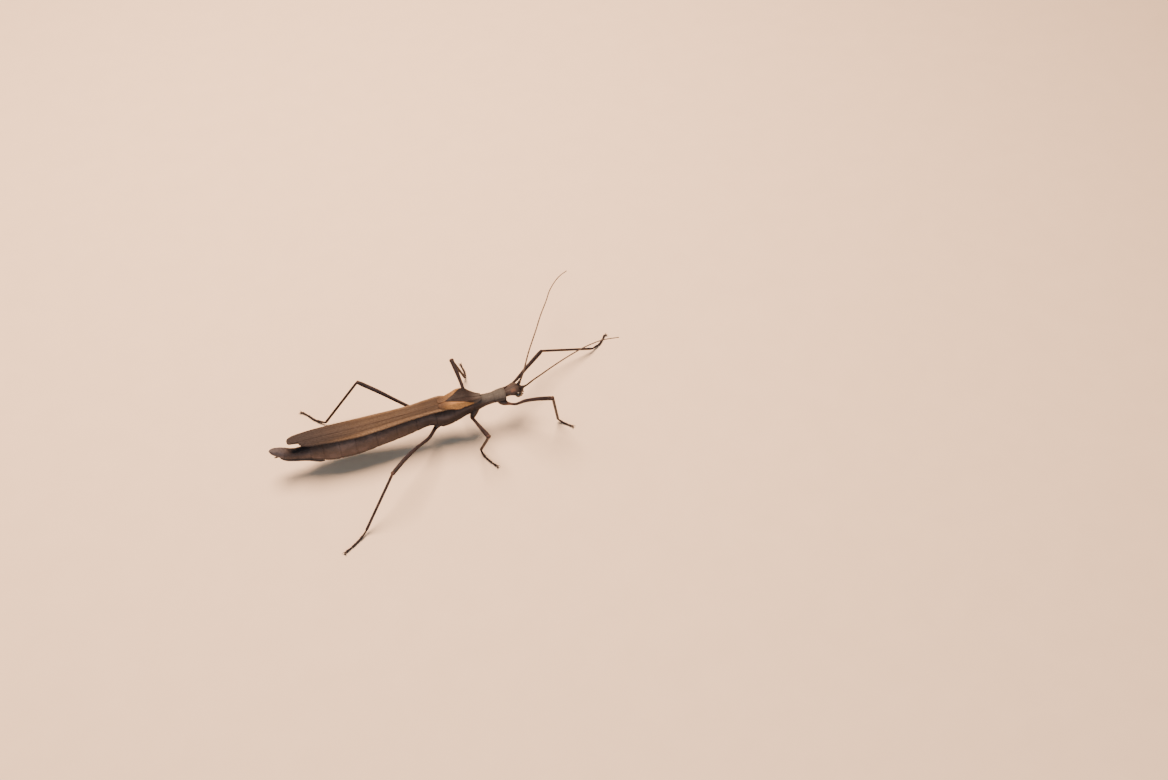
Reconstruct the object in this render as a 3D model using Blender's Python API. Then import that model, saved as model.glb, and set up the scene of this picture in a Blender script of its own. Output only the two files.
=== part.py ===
"""A female winged stick insect (Pseudophasma fulvum), standing, life size.

The tables below are in millimetres in the insect's own axes: x runs forward from the tip of the
tail, y to its left and z up from the floor it stands on. MM turns them into metres, and ORIGIN
is the middle of the outline on the floor, which becomes the model's origin.
Each sub-part is one closed solid. Neighbours are parted by cuts GAP wide.
"""

import math

import bpy
import numpy as np

for old in list(bpy.data.objects):
    bpy.data.objects.remove(old, do_unlink=True)

MM = 0.001
GAP = 0.18
ORIGIN = (49.56, 3.18)  # insect axes, middle of the outline

# Driving sizes -------------------------------------------------------------------------------
HEAD_START = 62.95  # x of the neck cut
HEAD_YAW = 14.0  # degrees, turned to its left
EYE_RADIUS = 0.92
ANTENNA_RADIUS = 0.27
SCAPE_RADIUS = 0.46
WING_EDGE = 0.5  # thickness at the wings' edges
WING_PACK = 1.25  # thickest place of the folded wing
TEGMEN_THICK = 0.5
TIBIA_RADIUS = 0.38
TARSUS_RADIUS = 0.4
TARSUS_HEIGHT = 0.31  # of a tarsus's centre line over the floor, so that its sole is a narrow flat
CLAW_RADIUS = 0.22

# Cuts between the parts of the body, as x of each cut's middle
PRO_MESO = 59.7
MESO_META = 54.0
META_ABDOMEN = 43.7
ABDOMEN_CUTS = (33.0, 22.0, 13.6)

# The trunk: x, centre y, centre z, half width, half height. From the neck back to the tail.
TRUNK = (
    (62.86, 0.0, 10.25, 1.72, 1.38),
    (62.35, 0.0, 10.25, 1.95, 1.55),
    (61.3, 0.0, 10.2, 1.88, 1.55),
    (60.2, 0.0, 10.12, 1.7, 1.42),
    (59.2, 0.0, 10.02, 1.58, 1.4),
    (57.5, 0.0, 9.85, 1.6, 1.52),
    (55.8, 0.0, 9.68, 1.88, 1.8),
    (54.0, 0.0, 9.45, 2.2, 2.05),
    (52.0, 0.0, 9.25, 2.4, 2.2),
    (49.5, 0.0, 8.75, 2.85, 2.5),
    (47.0, 0.0, 8.25, 3.15, 2.8),
    (45.2, 0.0, 8.15, 3.2, 2.85),
    (43.6, 0.0, 8.6, 2.85, 2.55),
    (41.7, 0.0, 8.85, 2.5, 2.35),
    (38.0, 0.0, 8.45, 2.8, 2.65),
    (34.0, 0.0, 7.95, 3.15, 3.05),
    (29.5, 0.0, 7.6, 3.5, 3.3),
    (25.0, 0.0, 7.3, 3.9, 3.65),
    (21.0, 0.0, 7.05, 4.1, 3.8),
    (18.0, 0.0, 7.05, 4.02, 3.76),
    (15.8, 0.0, 6.92, 3.8, 3.72),
    (14.0, 0.0, 6.8, 3.35, 3.4),
    (11.6, 0.0, 6.55, 2.55, 2.55),
    (9.4, 0.0, 6.7, 1.9, 1.75),
    (7.3, 0.05, 6.85, 1.58, 1.4),
    (5.4, 0.15, 7.15, 1.5, 1.3),
    (3.7, 0.25, 7.95, 1.52, 1.22),
    (2.1, 0.35, 8.85, 1.32, 1.0),
    (0.9, 0.4, 9.5, 0.95, 0.68),
    (0.25, 0.42, 9.82, 0.5, 0.36),
)
TRUNK_SQUARE = 2.45  # exponent of the trunk's cross-section, 2 would be an ellipse

# The head along its own line: distance from the neck, half width, half height, centre z
HEAD = (
    (0.12, 1.12, 1.0, 10.55),
    (0.8, 1.2, 1.05, 10.62),
    (1.5, 1.48, 1.2, 10.62),
    (2.2, 1.76, 1.38, 10.5),
    (2.9, 1.86, 1.5, 10.35),
    (3.6, 1.8, 1.5, 10.15),
    (4.2, 1.52, 1.36, 9.95),
    (4.75, 1.12, 1.05, 9.78),
    (5.15, 0.68, 0.66, 9.66),
)
EYE_AT = (3.0, 1.86, -0.22)  # along, across and over the head's own line

# Folded hind wing: x, half width at the costal edge, top z at the edge, top z by the midline
WING = (
    (4.2, 0.95, 11.35, 11.5),
    (5.0, 1.75, 11.4, 11.65),
    (6.6, 2.4, 11.45, 11.8),
    (8.8, 2.7, 11.4, 11.85),
    (13.0, 3.05, 11.25, 11.85),
    (18.0, 3.2, 11.1, 11.85),
    (23.0, 3.1, 11.15, 11.85),
    (28.0, 2.8, 11.3, 11.95),
    (33.0, 2.4, 11.5, 12.1),
    (38.0, 2.1, 11.75, 12.35),
    (42.0, 2.1, 12.15, 12.6),
    (45.5, 2.3, 12.4, 12.7),
    (48.5, 2.0, 12.15, 12.35),
    (51.0, 1.45, 11.9, 12.0),
)
WING_SPREAD = (  # what each wing's width differs from the table by: (x, left, right)
    (4.2, 0.0, 0.0), (9.0, 0.15, -0.45), (13.0, 0.2, -0.55), (18.0, 0.2, -0.3), (24.0, 0.25, 0.0), (28.0, 0.4, 0.0),
    (33.0, 0.6, 0.0), (38.0, 0.85, 0.0), (42.0, 1.0, 0.0), (45.5, 0.85, 0.0), (48.5, 0.3, 0.0), (51.0, 0.0, 0.0),
)
WING_TIP = {"left": 4.9, "right": 7.7}  # the left wing lies a little further back
WING_SEAM = -0.28  # y of the left wing's inner edge, which lies just past the midline

# Tegmen (short fore wing): x, then (y, z) of its inner edge, its raised ridge and its outer edge
TEGMEN = (
    (56.3, 0.35, 12.0, 0.75, 12.02, 1.2, 11.65),
    (55.2, 0.25, 12.2, 1.05, 12.35, 1.7, 11.65),
    (53.6, 0.2, 12.6, 1.75, 13.15, 2.5, 11.75),
    (52.1, 0.16, 13.0, 2.4, 14.05, 3.15, 12.05),
    (50.4, 0.16, 13.22, 2.4, 14.2, 3.3, 12.4),
    (48.4, 0.16, 13.35, 1.9, 13.8, 2.85, 12.6),
    (46.6, 0.22, 13.4, 1.55, 13.62, 2.35, 12.85),
    (45.3, 0.4, 13.5, 1.35, 13.66, 1.95, 13.2),
    (44.5, 0.68, 13.48, 1.02, 13.54, 1.32, 13.34),
)

# Legs. coxa: from inside the thorax to the trochanter. femur: points between trochanter and knee.
# tarsus: points after the ankle, at x and y, with the last one under the claws.
LEGS = {
    "front_left": {
        "coxa": ((61.4, 0.9, 9.1), (62.8, 2.7, 9.05)),
        "femur": ((66.4, 4.55, 8.5), (71.2, 8.35, 8.75)),
        "knee": (76.8, 12.75, 9.0),
        "ankle": (92.6, 16.0, 1.08),
        "tarsus": ((93.75, 16.7), (95.55, 17.8), (97.0, 19.35), (97.8, 20.4)),
        "claw_turn": -38,
        "thick": (0.36, 0.47, 0.56),
    },
    "front_right": {
        "coxa": ((61.4, -0.9, 9.0), (62.85, -1.95, 8.5)),
        "femur": ((64.7, -3.7, 9.5), (66.9, -5.2, 11.7), (69.6, -7.8, 14.5)),
        "knee": (72.9, -11.45, 17.8),
        "ankle": (75.8, -5.5, 1.08),
        "tarsus": ((76.4, -6.1), (77.3, -6.95), (78.05, -7.7), (78.6, -8.25)),
        "claw_turn": 0,
        "thick": (0.36, 0.47, 0.56),
    },
    "mid_left": {
        "coxa": ((54.5, 1.1, 8.6), (52.9, 2.7, 7.2)),
        "femur": ((52.95, 6.0, 8.35), (52.55, 10.2, 10.4)),
        "knee": (51.9, 14.3, 12.4),
        "ankle": (55.4, 16.7, 1.08),
        "tarsus": ((55.7, 17.9), (55.9, 19.4), (55.75, 20.8), (55.6, 22.0)),
        "claw_turn": 0,
        "thick": (0.42, 0.49, 0.6),
    },
    "mid_right": {
        "coxa": ((54.5, -1.1, 8.6), (52.9, -2.7, 7.2)),
        "femur": ((53.4, -6.2, 8.75), (54.0, -10.2, 10.6)),
        "knee": (54.7, -14.4, 12.4),
        "ankle": (53.2, -9.2, 1.08),
        "tarsus": ((53.4, -10.3), (54.0, -11.8), (54.9, -13.5), (55.8, -14.9)),
        "claw_turn": 0,
        "thick": (0.42, 0.49, 0.6),
    },
    "hind_left": {
        "coxa": ((44.9, 1.2, 7.3), (43.0, 2.15, 6.05)),
        "femur": ((39.6, 4.35, 7.0), (35.0, 7.65, 9.0), (30.6, 10.9, 10.95)),
        "knee": (26.1, 14.0, 12.75),
        "ankle": (15.6, 12.8, 1.08),
        "tarsus": ((14.5, 13.7), (12.9, 15.2), (11.4, 17.3), (10.2, 18.7)),
        "claw_turn": 22,
        "thick": (0.5, 0.46, 0.56),
    },
    "hind_right": {
        "coxa": ((44.9, -1.2, 7.3), (43.0, -2.15, 6.05)),
        "femur": ((40.35, -6.1, 7.4), (36.75, -9.6, 9.3), (32.85, -13.45, 10.8)),
        "knee": (28.8, -17.6, 11.6),
        "ankle": (19.2, -24.9, 1.08),
        "tarsus": ((18.1, -25.9), (16.3, -27.2), (14.5, -28.4), (13.2, -29.1)),
        "claw_turn": 12,
        "thick": (0.5, 0.46, 0.56),
    },
}

# Feelers: points from the scape's base to the tip
ANTENNAE = {
    "left": (
        (66.55, 1.0, 11.0), (67.4, 1.55, 11.8), (68.2, 2.4, 12.35), (69.3, 4.0, 12.8),
        (72.3, 9.3, 13.8), (76.3, 15.8, 14.5), (79.1, 20.6, 14.8), (82.1, 25.3, 14.8),
        (84.2, 29.0, 14.6), (86.9, 32.5, 14.2), (89.1, 34.7, 13.8), (91.7, 36.6, 13.2),
    ),
    "right": (
        (66.9, -0.1, 10.9), (67.7, -0.3, 11.6), (68.7, -0.65, 12.4), (70.5, -1.2, 14.5),
        (72.1, -2.3, 17.0), (75.1, -3.8, 21.0), (79.4, -5.9, 26.3), (83.3, -7.6, 30.2),
        (87.0, -9.2, 32.9), (90.8, -10.8, 34.3),
    ),
}
SCAPE_END = 1.75  # length of the thick basal segment

COLOURS = {
    "cuticle_thorax": ((0.13, 0.095, 0.075, 1), 0.55),
    "cuticle_abdomen": ((0.055, 0.036, 0.03, 1), 0.5),
    "cuticle_head": ((0.09, 0.065, 0.05, 1), 0.5),
    "wing": ((0.19, 0.095, 0.05, 1), 0.45),
    "tegmen": ((0.06, 0.035, 0.027, 1), 0.45),
    "leg": ((0.075, 0.035, 0.028, 1), 0.45),
    "antenna": ((0.2, 0.13, 0.095, 1), 0.5),
    "eye": ((0.035, 0.036, 0.028, 1), 0.2),
    "claw": ((0.02, 0.013, 0.011, 1), 0.35),
}


# Curves and rings ----------------------------------------------------------------------------
def through(points, count):
    """Evenly spaced samples of a smooth curve through the points (centripetal Catmull-Rom)."""
    points = np.asarray(points, float)
    ends = np.vstack([2 * points[0] - points[1], points, 2 * points[-1] - points[-2]])
    knots = np.concatenate([[0], np.cumsum(np.linalg.norm(np.diff(ends, axis=0), axis=1) ** 0.5)])
    dense = []
    for i in range(1, len(ends) - 2):
        t0, t1, t2, t3 = knots[i - 1 : i + 3]
        for t in np.linspace(t1, t2, 16, endpoint=False):
            a1 = (t1 - t) / (t1 - t0) * ends[i - 1] + (t - t0) / (t1 - t0) * ends[i]
            a2 = (t2 - t) / (t2 - t1) * ends[i] + (t - t1) / (t2 - t1) * ends[i + 1]
            a3 = (t3 - t) / (t3 - t2) * ends[i + 1] + (t - t2) / (t3 - t2) * ends[i + 2]
            b1 = (t2 - t) / (t2 - t0) * a1 + (t - t0) / (t2 - t0) * a2
            b2 = (t3 - t) / (t3 - t1) * a2 + (t - t1) / (t3 - t1) * a3
            dense.append((t2 - t) / (t2 - t1) * b1 + (t - t1) / (t2 - t1) * b2)
    dense.append(points[-1])
    dense = np.array(dense)
    if not isinstance(count, int):
        return dense
    along = np.concatenate([[0], np.cumsum(np.linalg.norm(np.diff(dense, axis=0), axis=1))])
    wanted = np.linspace(0, along[-1], count)
    return np.column_stack([np.interp(wanted, along, dense[:, k]) for k in range(3)])


def table(rows, x):
    """The row of a table at x, smoothly between its stations (monotone in x either way)."""
    rows = np.asarray(rows, float)
    if rows[0, 0] > rows[-1, 0]:
        rows = rows[::-1]
    xs = rows[:, 0]
    x = min(max(x, xs[0]), xs[-1])
    i = int(min(max(np.searchsorted(xs, x) - 1, 0), len(xs) - 2))
    h = xs[i + 1] - xs[i]
    t = (x - xs[i]) / h

    def slope(k):
        if k == 0 or k == len(xs) - 1:
            j = min(k, len(xs) - 2)
            return (rows[j + 1] - rows[j]) / (xs[j + 1] - xs[j])
        left = (rows[k] - rows[k - 1]) / (xs[k] - xs[k - 1])
        right = (rows[k + 1] - rows[k]) / (xs[k + 1] - xs[k])
        both = np.where(left * right > 0, 2 * left * right / (left + right + 1e-12), 0)
        return both

    a, b = slope(i), slope(i + 1)
    return (
        (2 * t**3 - 3 * t**2 + 1) * rows[i]
        + (t**3 - 2 * t**2 + t) * h * a
        + (-2 * t**3 + 3 * t**2) * rows[i + 1]
        + (t**3 - t**2) * h * b
    )


def superellipse(half_w, half_h, power, count, phase=0.0):
    out = []
    for k in range(count):
        angle = 2 * math.pi * k / count + phase
        c, s = math.cos(angle), math.sin(angle)
        out.append(
            (
                half_w * math.copysign(abs(c) ** (2 / power), c),
                half_h * math.copysign(abs(s) ** (2 / power), s),
            )
        )
    return out


def loft(name, rings, colour, first=None, last=None, cutter=False):
    """One closed solid through rings of equal count, each end closed flat or to a point."""
    verts = [tuple(p) for ring in rings for p in ring]
    n = len(rings[0])
    faces = []
    for i in range(len(rings) - 1):
        for k in range(n):
            j = (k + 1) % n
            faces.append((i * n + k, i * n + j, (i + 1) * n + j, (i + 1) * n + k))
    for at, ring, turned in ((first, 0, True), (last, len(rings) - 1, False)):
        loop = [ring * n + k for k in range(n)]
        if at is None:
            faces.append(tuple(reversed(loop)) if turned else tuple(loop))
            continue
        verts.append(tuple(at))
        tip = len(verts) - 1
        for k in range(n):
            a, b = loop[k], loop[(k + 1) % n]
            faces.append((b, a, tip) if turned else (a, b, tip))
    scaled = [((x - ORIGIN[0]) * MM, (y - ORIGIN[1]) * MM, z * MM) for x, y, z in verts]
    mesh = bpy.data.meshes.new(name)
    mesh.from_pydata(scaled, [], faces)
    if volume(scaled, faces) < 0:
        mesh.flip_normals()
    mesh.validate()
    mesh.shade_smooth()
    mesh.set_sharp_from_angle(angle=math.radians(50))
    obj = bpy.data.objects.new(name, mesh)
    bpy.context.scene.collection.objects.link(obj)
    if cutter:
        obj.hide_render = True
        obj.display_type = "WIRE"
    else:
        mesh.materials.append(MATERIALS[colour])
    return obj


def volume(verts, faces):
    v = np.array(verts)
    total = 0.0
    for f in faces:
        for k in range(1, len(f) - 1):
            total += np.dot(v[f[0]], np.cross(v[f[k]], v[f[k + 1]]))
    return total


def frames(points, reference):
    """Tangent, side and up at each point, with the side square to the reference direction."""
    points = np.asarray(points, float)
    reference = np.asarray(reference, float)
    out = []
    for i in range(len(points)):
        tangent = points[min(i + 1, len(points) - 1)] - points[max(i - 1, 0)]
        tangent /= np.linalg.norm(tangent)
        side = np.cross(reference, tangent)
        side /= np.linalg.norm(side)
        out.append((tangent, side, np.cross(tangent, side)))
    return out


def tube(name, points, radii, colour, reference=(0, 0, 1), count=8, power=2.0, phase=0.0,
         domed=(True, True), floor=None, flat=1.0, cutter=False):
    """A tube along points, with a radius at each. floor cuts its underside flat at that height."""
    rings = []
    for point, radius, (tangent, side, up) in zip(points, radii, frames(points, reference)):
        ring = []
        for w, h in superellipse(radius, radius * flat, power, count, phase):
            p = point + side * w + up * h
            if floor is not None:
                p[2] = max(p[2], floor)
            ring.append(p)
        rings.append(ring)
    fr = frames(points, reference)
    caps = []
    for which, end in ((0, 0), (1, -1)):
        if not domed[which]:
            caps.append(None)
            continue
        tangent = fr[end][0] * (1 if which else -1)
        cap = np.asarray(points[end]) + tangent * radii[end] * 0.35
        if floor is not None:
            cap[2] = max(cap[2], floor)
        caps.append(cap)
    return loft(name, rings, colour, caps[0], caps[1], cutter)


def cut(obj, *cutters):
    for other in cutters:
        modifier = obj.modifiers.new("clear_of_" + other.name, "BOOLEAN")
        modifier.operation = "DIFFERENCE"
        modifier.solver = "EXACT"
        modifier.object = other


def material(name, rgba, roughness):
    made = bpy.data.materials.new(name)
    made.use_nodes = True
    made.diffuse_color = rgba
    shader = made.node_tree.nodes["Principled BSDF"]
    shader.inputs["Base Color"].default_value = rgba
    shader.inputs["Roughness"].default_value = roughness
    shader.inputs["Metallic"].default_value = 0.0
    return made


MATERIALS = {name: material(name, *look) for name, look in COLOURS.items()}


# The trunk -----------------------------------------------------------------------------------
def trunk_ring(x, grow=0.0, count=16):
    _, y, z, a, b = table(TRUNK, x)
    return [(x, y + w, z + h) for w, h in superellipse(a + grow, b + grow, TRUNK_SQUARE, count)]


def trunk_top(x, y):
    """Height of the trunk's upper surface over x, y."""
    _, yc, z, a, b = table(TRUNK, x)
    off = min(abs(y - yc) / a, 0.98)
    return z + b * (1 - off**TRUNK_SQUARE) ** (1 / TRUNK_SQUARE)


def trunk_part(name, front, back, steps, colour):
    xs = np.linspace(front, back, steps)
    return loft(name, [trunk_ring(x) for x in xs], colour)


half = GAP / 2
trunk_part("prothorax", HEAD_START - half, PRO_MESO + half, 6, "cuticle_thorax")
trunk_part("mesothorax", PRO_MESO - half, MESO_META + half, 6, "cuticle_thorax")
trunk_part("metathorax", MESO_META - half, META_ABDOMEN + half, 8, "cuticle_abdomen")
abdomen_from = [META_ABDOMEN, *ABDOMEN_CUTS]
for name, front, back, steps in zip(
    ("abdomen_base", "abdomen_middle", "abdomen_rear"), abdomen_from[:-1], abdomen_from[1:], (7, 6, 6)
):
    trunk_part(name, front - half, back + half, steps, "cuticle_abdomen")


def tail_lean(x):
    """How far the rings of the upturned tail lean back, per millimetre of height."""
    ahead, behind = table(TRUNK, x + 0.3), table(TRUNK, x - 0.3)
    return 0.8 * min(max((behind[2] - ahead[2]) / 0.6, 0), 0.75) if x < 13 else 0.0


def tail_ring(x, grow=0.0, count=16):
    _, y, z, a, b = table(TRUNK, x)
    lean = tail_lean(x)
    return [(x + h * lean, y + w, z + h) for w, h in superellipse(a + grow, b + grow, TRUNK_SQUARE, count)]


tail_xs = np.concatenate([np.linspace(ABDOMEN_CUTS[-1] - half, 2.0, 9), [1.3, 0.8, 0.35]])
loft("abdomen_tip", [tail_ring(x) for x in tail_xs], "cuticle_abdomen", last=(0.0, 0.44, 9.98))

# Cutter: the trunk grown by the gap
trunk_cutter = loft(
    "cut_trunk",
    [tail_ring(x, GAP, 24) for x in np.linspace(HEAD_START + half, 0.35, 50)],
    None,
    last=(-0.2, 0.44, 10.05),
    cutter=True,
)


# Operculum: the boat-shaped plate under the end of the abdomen --------------------------------
def under_ring(x, inner, outer, spread):
    """A crescent under the trunk at x, from one side round the belly to the other."""
    _, y, z, a, b = table(TRUNK, x)
    lean = tail_lean(x)
    out, back = [], []
    for k in range(9):
        angle = math.radians(-90 - spread + 2 * spread * k / 8)
        edge = 1 - abs(k - 4) / 4
        for grow, made in ((inner, back), (outer * (0.55 + 0.45 * edge), out)):
            c, s = math.cos(angle), math.sin(angle)
            w = (a + grow) * math.copysign(abs(c) ** (2 / TRUNK_SQUARE), c)
            h = (b + grow) * math.copysign(abs(s) ** (2 / TRUNK_SQUARE), s)
            made.append((x + h * lean, y + w, z + h))
    return out + back[::-1]


operculum_xs = np.linspace(13.2, 3.0, 8)
operculum_rings = []
for i, x in enumerate(operculum_xs):
    t = i / (len(operculum_xs) - 1)
    operculum_rings.append(under_ring(x, GAP, 0.72 + 0.25 * math.sin(math.pi * t), 62 - 30 * t**2))
loft("operculum", operculum_rings, "cuticle_abdomen")

# Cerci: two short blunt appendages at the end of the tail
for side, sign in (("left", 1), ("right", -1)):
    start = np.array([1.7, 0.38 + sign * 0.62, 7.55])
    points = [start + np.array([-0.4 * k, sign * 0.08 * k, 0.1 * k]) for k in range(4)]
    cercus = tube("cercus_" + side, points, [0.27, 0.3, 0.27, 0.2], "cuticle_abdomen", count=8)
    cut(cercus, trunk_cutter)


# Head ----------------------------------------------------------------------------------------
def head_frame(s):
    """Centre line point and heading of the head at distance s from the neck."""
    turn = math.radians(HEAD_YAW) * min(max(s / 1.2, 0), 1)
    steps = 24
    x, y = HEAD_START, 0.0
    for k in range(steps):
        here = math.radians(HEAD_YAW) * min(s * (k + 0.5) / steps / 1.2, 1)
        x += math.cos(here) * s / steps
        y += math.sin(here) * s / steps
    return x, y, turn


def head_point(s, across, over):
    x, y, turn = head_frame(s)
    z = table(HEAD, s)[3]
    return np.array([x - math.sin(turn) * across, y + math.cos(turn) * across, z + over])


def head_ring(s, grow=0.0, count=16):
    _, a, b, _ = table(HEAD, s)
    return [head_point(s, w, h) for w, h in superellipse(a + grow, b + grow, 2.3, count)]


head_at = (half + 0.02, 0.6, 1.2, 1.8, 2.4, 3.0, 3.6, 4.15, 4.6, 4.95, 5.15)
loft("head", [head_ring(s) for s in head_at], "cuticle_head", last=head_point(5.4, 0, -0.06))
head_cutter = loft(
    "cut_head",
    [head_ring(s, GAP, 24) for s in np.linspace(half, 5.15, 16)],
    None,
    last=head_point(5.62, 0, -0.06),
    cutter=True,
)


def ball(name, centre, radii, turn, colour, count=12, steps=8):
    rings = []
    for i in range(1, steps):
        polar = math.pi * i / steps
        ring = []
        for k in range(count):
            angle = 2 * math.pi * k / count
            p = (
                radii[0] * math.sin(polar) * math.cos(angle),
                radii[1] * math.cos(polar),
                radii[2] * math.sin(polar) * math.sin(angle),
            )
            ring.append(
                (
                    centre[0] + math.cos(turn) * p[0] - math.sin(turn) * p[1],
                    centre[1] + math.sin(turn) * p[0] + math.cos(turn) * p[1],
                    centre[2] + p[2],
                )
            )
        rings.append(ring)
    poles = [
        (centre[0] - math.sin(turn) * s * radii[1], centre[1] + math.cos(turn) * s * radii[1], centre[2])
        for s in (1, -1)
    ]
    return loft(name, rings, colour, poles[0], poles[1])


for side, sign in (("left", 1), ("right", -1)):
    centre = head_point(EYE_AT[0], sign * EYE_AT[1], EYE_AT[2])
    eye = ball(
        "eye_" + side, centre, (EYE_RADIUS, EYE_RADIUS * 0.8, EYE_RADIUS * 0.92),
        math.radians(HEAD_YAW), "eye",
    )
    cut(eye, head_cutter)

# Mouthparts: the jaws and upper lip under the front of the head, with a palp on each side
jaw_rings = []
for s, w, low in ((3.55, 0.75, 1.9), (4.0, 0.95, 2.1), (4.5, 0.92, 2.05), (4.95, 0.72, 1.75), (5.3, 0.42, 1.3)):
    _, a, b, _ = table(HEAD, s)
    ring = [head_point(min(s, 5.15), p, -0.9 - (low - 0.9) / 2 + q) for p, q in superellipse(w, (low - 0.9) / 2 + 0.28, 2.4, 12)]
    if s > 5.15:
        extra = s - 5.15
        turn = math.radians(HEAD_YAW)
        ring = [p + np.array([math.cos(turn) * extra, math.sin(turn) * extra, 0]) for p in ring]
    jaw_rings.append(ring)
jaws = loft("mouthparts", jaw_rings, "cuticle_head")
cut(jaws, head_cutter)
for side, sign in (("left", 1), ("right", -1)):
    points = [
        head_point(3.6, sign * 1.3, -1.45),
        head_point(3.9, sign * 1.46, -1.85),
        head_point(4.15, sign * 1.44, -2.15),
        head_point(4.35, sign * 1.3, -2.35),
    ]
    palp = tube("palp_" + side, through(points, 6), [0.26, 0.27, 0.27, 0.26, 0.27, 0.24], "leg", count=8)
    cut(palp, head_cutter)


# Feelers -------------------------------------------------------------------------------------
def antenna(side):
    curve = through(ANTENNAE[side], 200)
    along = np.concatenate([[0], np.cumsum(np.linalg.norm(np.diff(curve, axis=0), axis=1))])

    def stretch(start, end, count):
        return [
            np.array([np.interp(s, along, curve[:, k]) for k in range(3)])
            for s in np.linspace(start, end, count)
        ]

    total = along[-1]
    scape = stretch(0.0, SCAPE_END, 5)
    base = tube(
        "scape_" + side, scape, [SCAPE_RADIUS * f for f in (0.8, 1.0, 1.0, 0.95, 0.72)], "antenna", count=8
    )
    cut(base, head_cutter)
    middle = total * 0.5
    first = stretch(SCAPE_END + SCAPE_RADIUS * 0.3 + GAP, middle - half, 12)
    tube("antenna_%s_base" % side, first, np.linspace(0.3, ANTENNA_RADIUS, 12), "antenna",
         count=6, domed=(False, False))
    second = stretch(middle + half, total - 0.1, 11)
    tube("antenna_%s_tip" % side, second, np.linspace(ANTENNA_RADIUS, 0.25, 11), "antenna",
         count=6, domed=(False, True))


for side in ("left", "right"):
    antenna(side)


# Folded hind wings ---------------------------------------------------------------------------
def wing_ring(x, side, grow=0.0, across=6):
    """Cross-section of one folded wing: arched top, and underside lying over the back."""
    sign = 1 if side == "left" else -1
    _, width, edge_z, mid_z = table(WING, x)
    width += table(WING_SPREAD, x)[1 if side == "left" else 2]
    inner = WING_SEAM if side == "left" else GAP - WING_SEAM  # distance from the midline
    tip = WING_TIP[side]
    if side == "right" and x < tip + 4.0:
        # the right wing ends short of the left one, rounded
        t = max((x - tip) / 4.0, 0)
        width = inner + 0.35 + (width - inner - 0.35) * math.sqrt(max(1 - (1 - t) ** 2, 0))
    top, bottom = [], []
    for k in range(across):
        t = k / (across - 1)
        y = inner + (width - inner) * t
        z = mid_z + (edge_z - mid_z) * (0.25 * t + 0.75 * t**2.5)
        thick = WING_EDGE + (WING_PACK - WING_EDGE) * (1 - t) ** 0.7
        low = max(z - thick, trunk_top(x, sign * y) + GAP if x > 3 else -99)
        low = min(low, z - WING_EDGE)
        top.append((x, sign * y, z + grow))
        bottom.append((x, sign * y, low - grow))
    if grow:
        top[-1] = (x, sign * (width + grow), top[-1][2])
        bottom[-1] = (x, sign * (width + grow), bottom[-1][2])
        top[0] = (x, sign * (inner - grow), top[0][2])
        bottom[0] = (x, sign * (inner - grow), bottom[0][2])
    return top + bottom[::-1]


for side in ("left", "right"):
    tip = WING_TIP[side]
    xs = np.concatenate([tip + np.array([0.0, 0.5, 1.3, 2.6]), np.linspace(tip + 5, 51.0, 9)])
    wing = loft("wing_" + side, [wing_ring(x, side) for x in xs], "wing")
    cut(wing, trunk_cutter)


# Tegmina -------------------------------------------------------------------------------------
def tegmen_ring(x, sign):
    _, yi, zi, yr, zr, yo, zo = table(TEGMEN, x)
    edge = []
    for t in (0, 0.34, 0.68, 1.0):
        edge.append(np.array([yi + (yr - yi) * t, zi + (zr - zi) * t**1.5]))
    for t in (0.35, 0.7, 1.0):
        edge.append(np.array([yr + (yo - yr) * t**0.8, zr + (zo - zr) * t**1.3]))
    inner = []
    for i, p in enumerate(edge):
        along = edge[min(i + 1, len(edge) - 1)] - edge[max(i - 1, 0)]
        normal = np.array([along[1], -along[0]]) / max(np.linalg.norm(along), 1e-6)
        inner.append(p + normal * TEGMEN_THICK * (1 if normal[1] < 0 else -1))
    return [(x, sign * p[0], p[1]) for p in edge] + [(x, sign * p[0], p[1]) for p in inner[::-1]]


wing_cutters = {
    side: loft("cut_wing_" + side, [wing_ring(x, side, GAP) for x in np.linspace(41.0, 51.15, 8)], None, cutter=True)
    for side in ("left", "right")
}
for side, sign in (("left", 1), ("right", -1)):
    xs = np.array([56.4, 55.4, 54.2, 53.0, 51.8, 50.4, 49.0, 47.6, 46.4, 45.4, 44.6])
    tegmen = loft("tegmen_" + side, [tegmen_ring(x, sign) for x in xs], "tegmen")
    cut(tegmen, trunk_cutter, wing_cutters["left"], wing_cutters["right"])


# Legs ----------------------------------------------------------------------------------------
def between(a, b, from_a, from_b, count):
    """Points from a to b, starting from_a past a and ending from_b short of b."""
    a, b = np.asarray(a, float), np.asarray(b, float)
    line = b - a
    length = np.linalg.norm(line)
    line /= length
    return [a + line * s for s in np.linspace(from_a, length - from_b, count)]


def trimmed(curve, start, end, count):
    along = np.concatenate([[0], np.cumsum(np.linalg.norm(np.diff(curve, axis=0), axis=1))])
    return [
        np.array([np.interp(s, along, curve[:, k]) for k in range(3)])
        for s in np.linspace(start, along[-1] - end, count)
    ]


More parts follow.
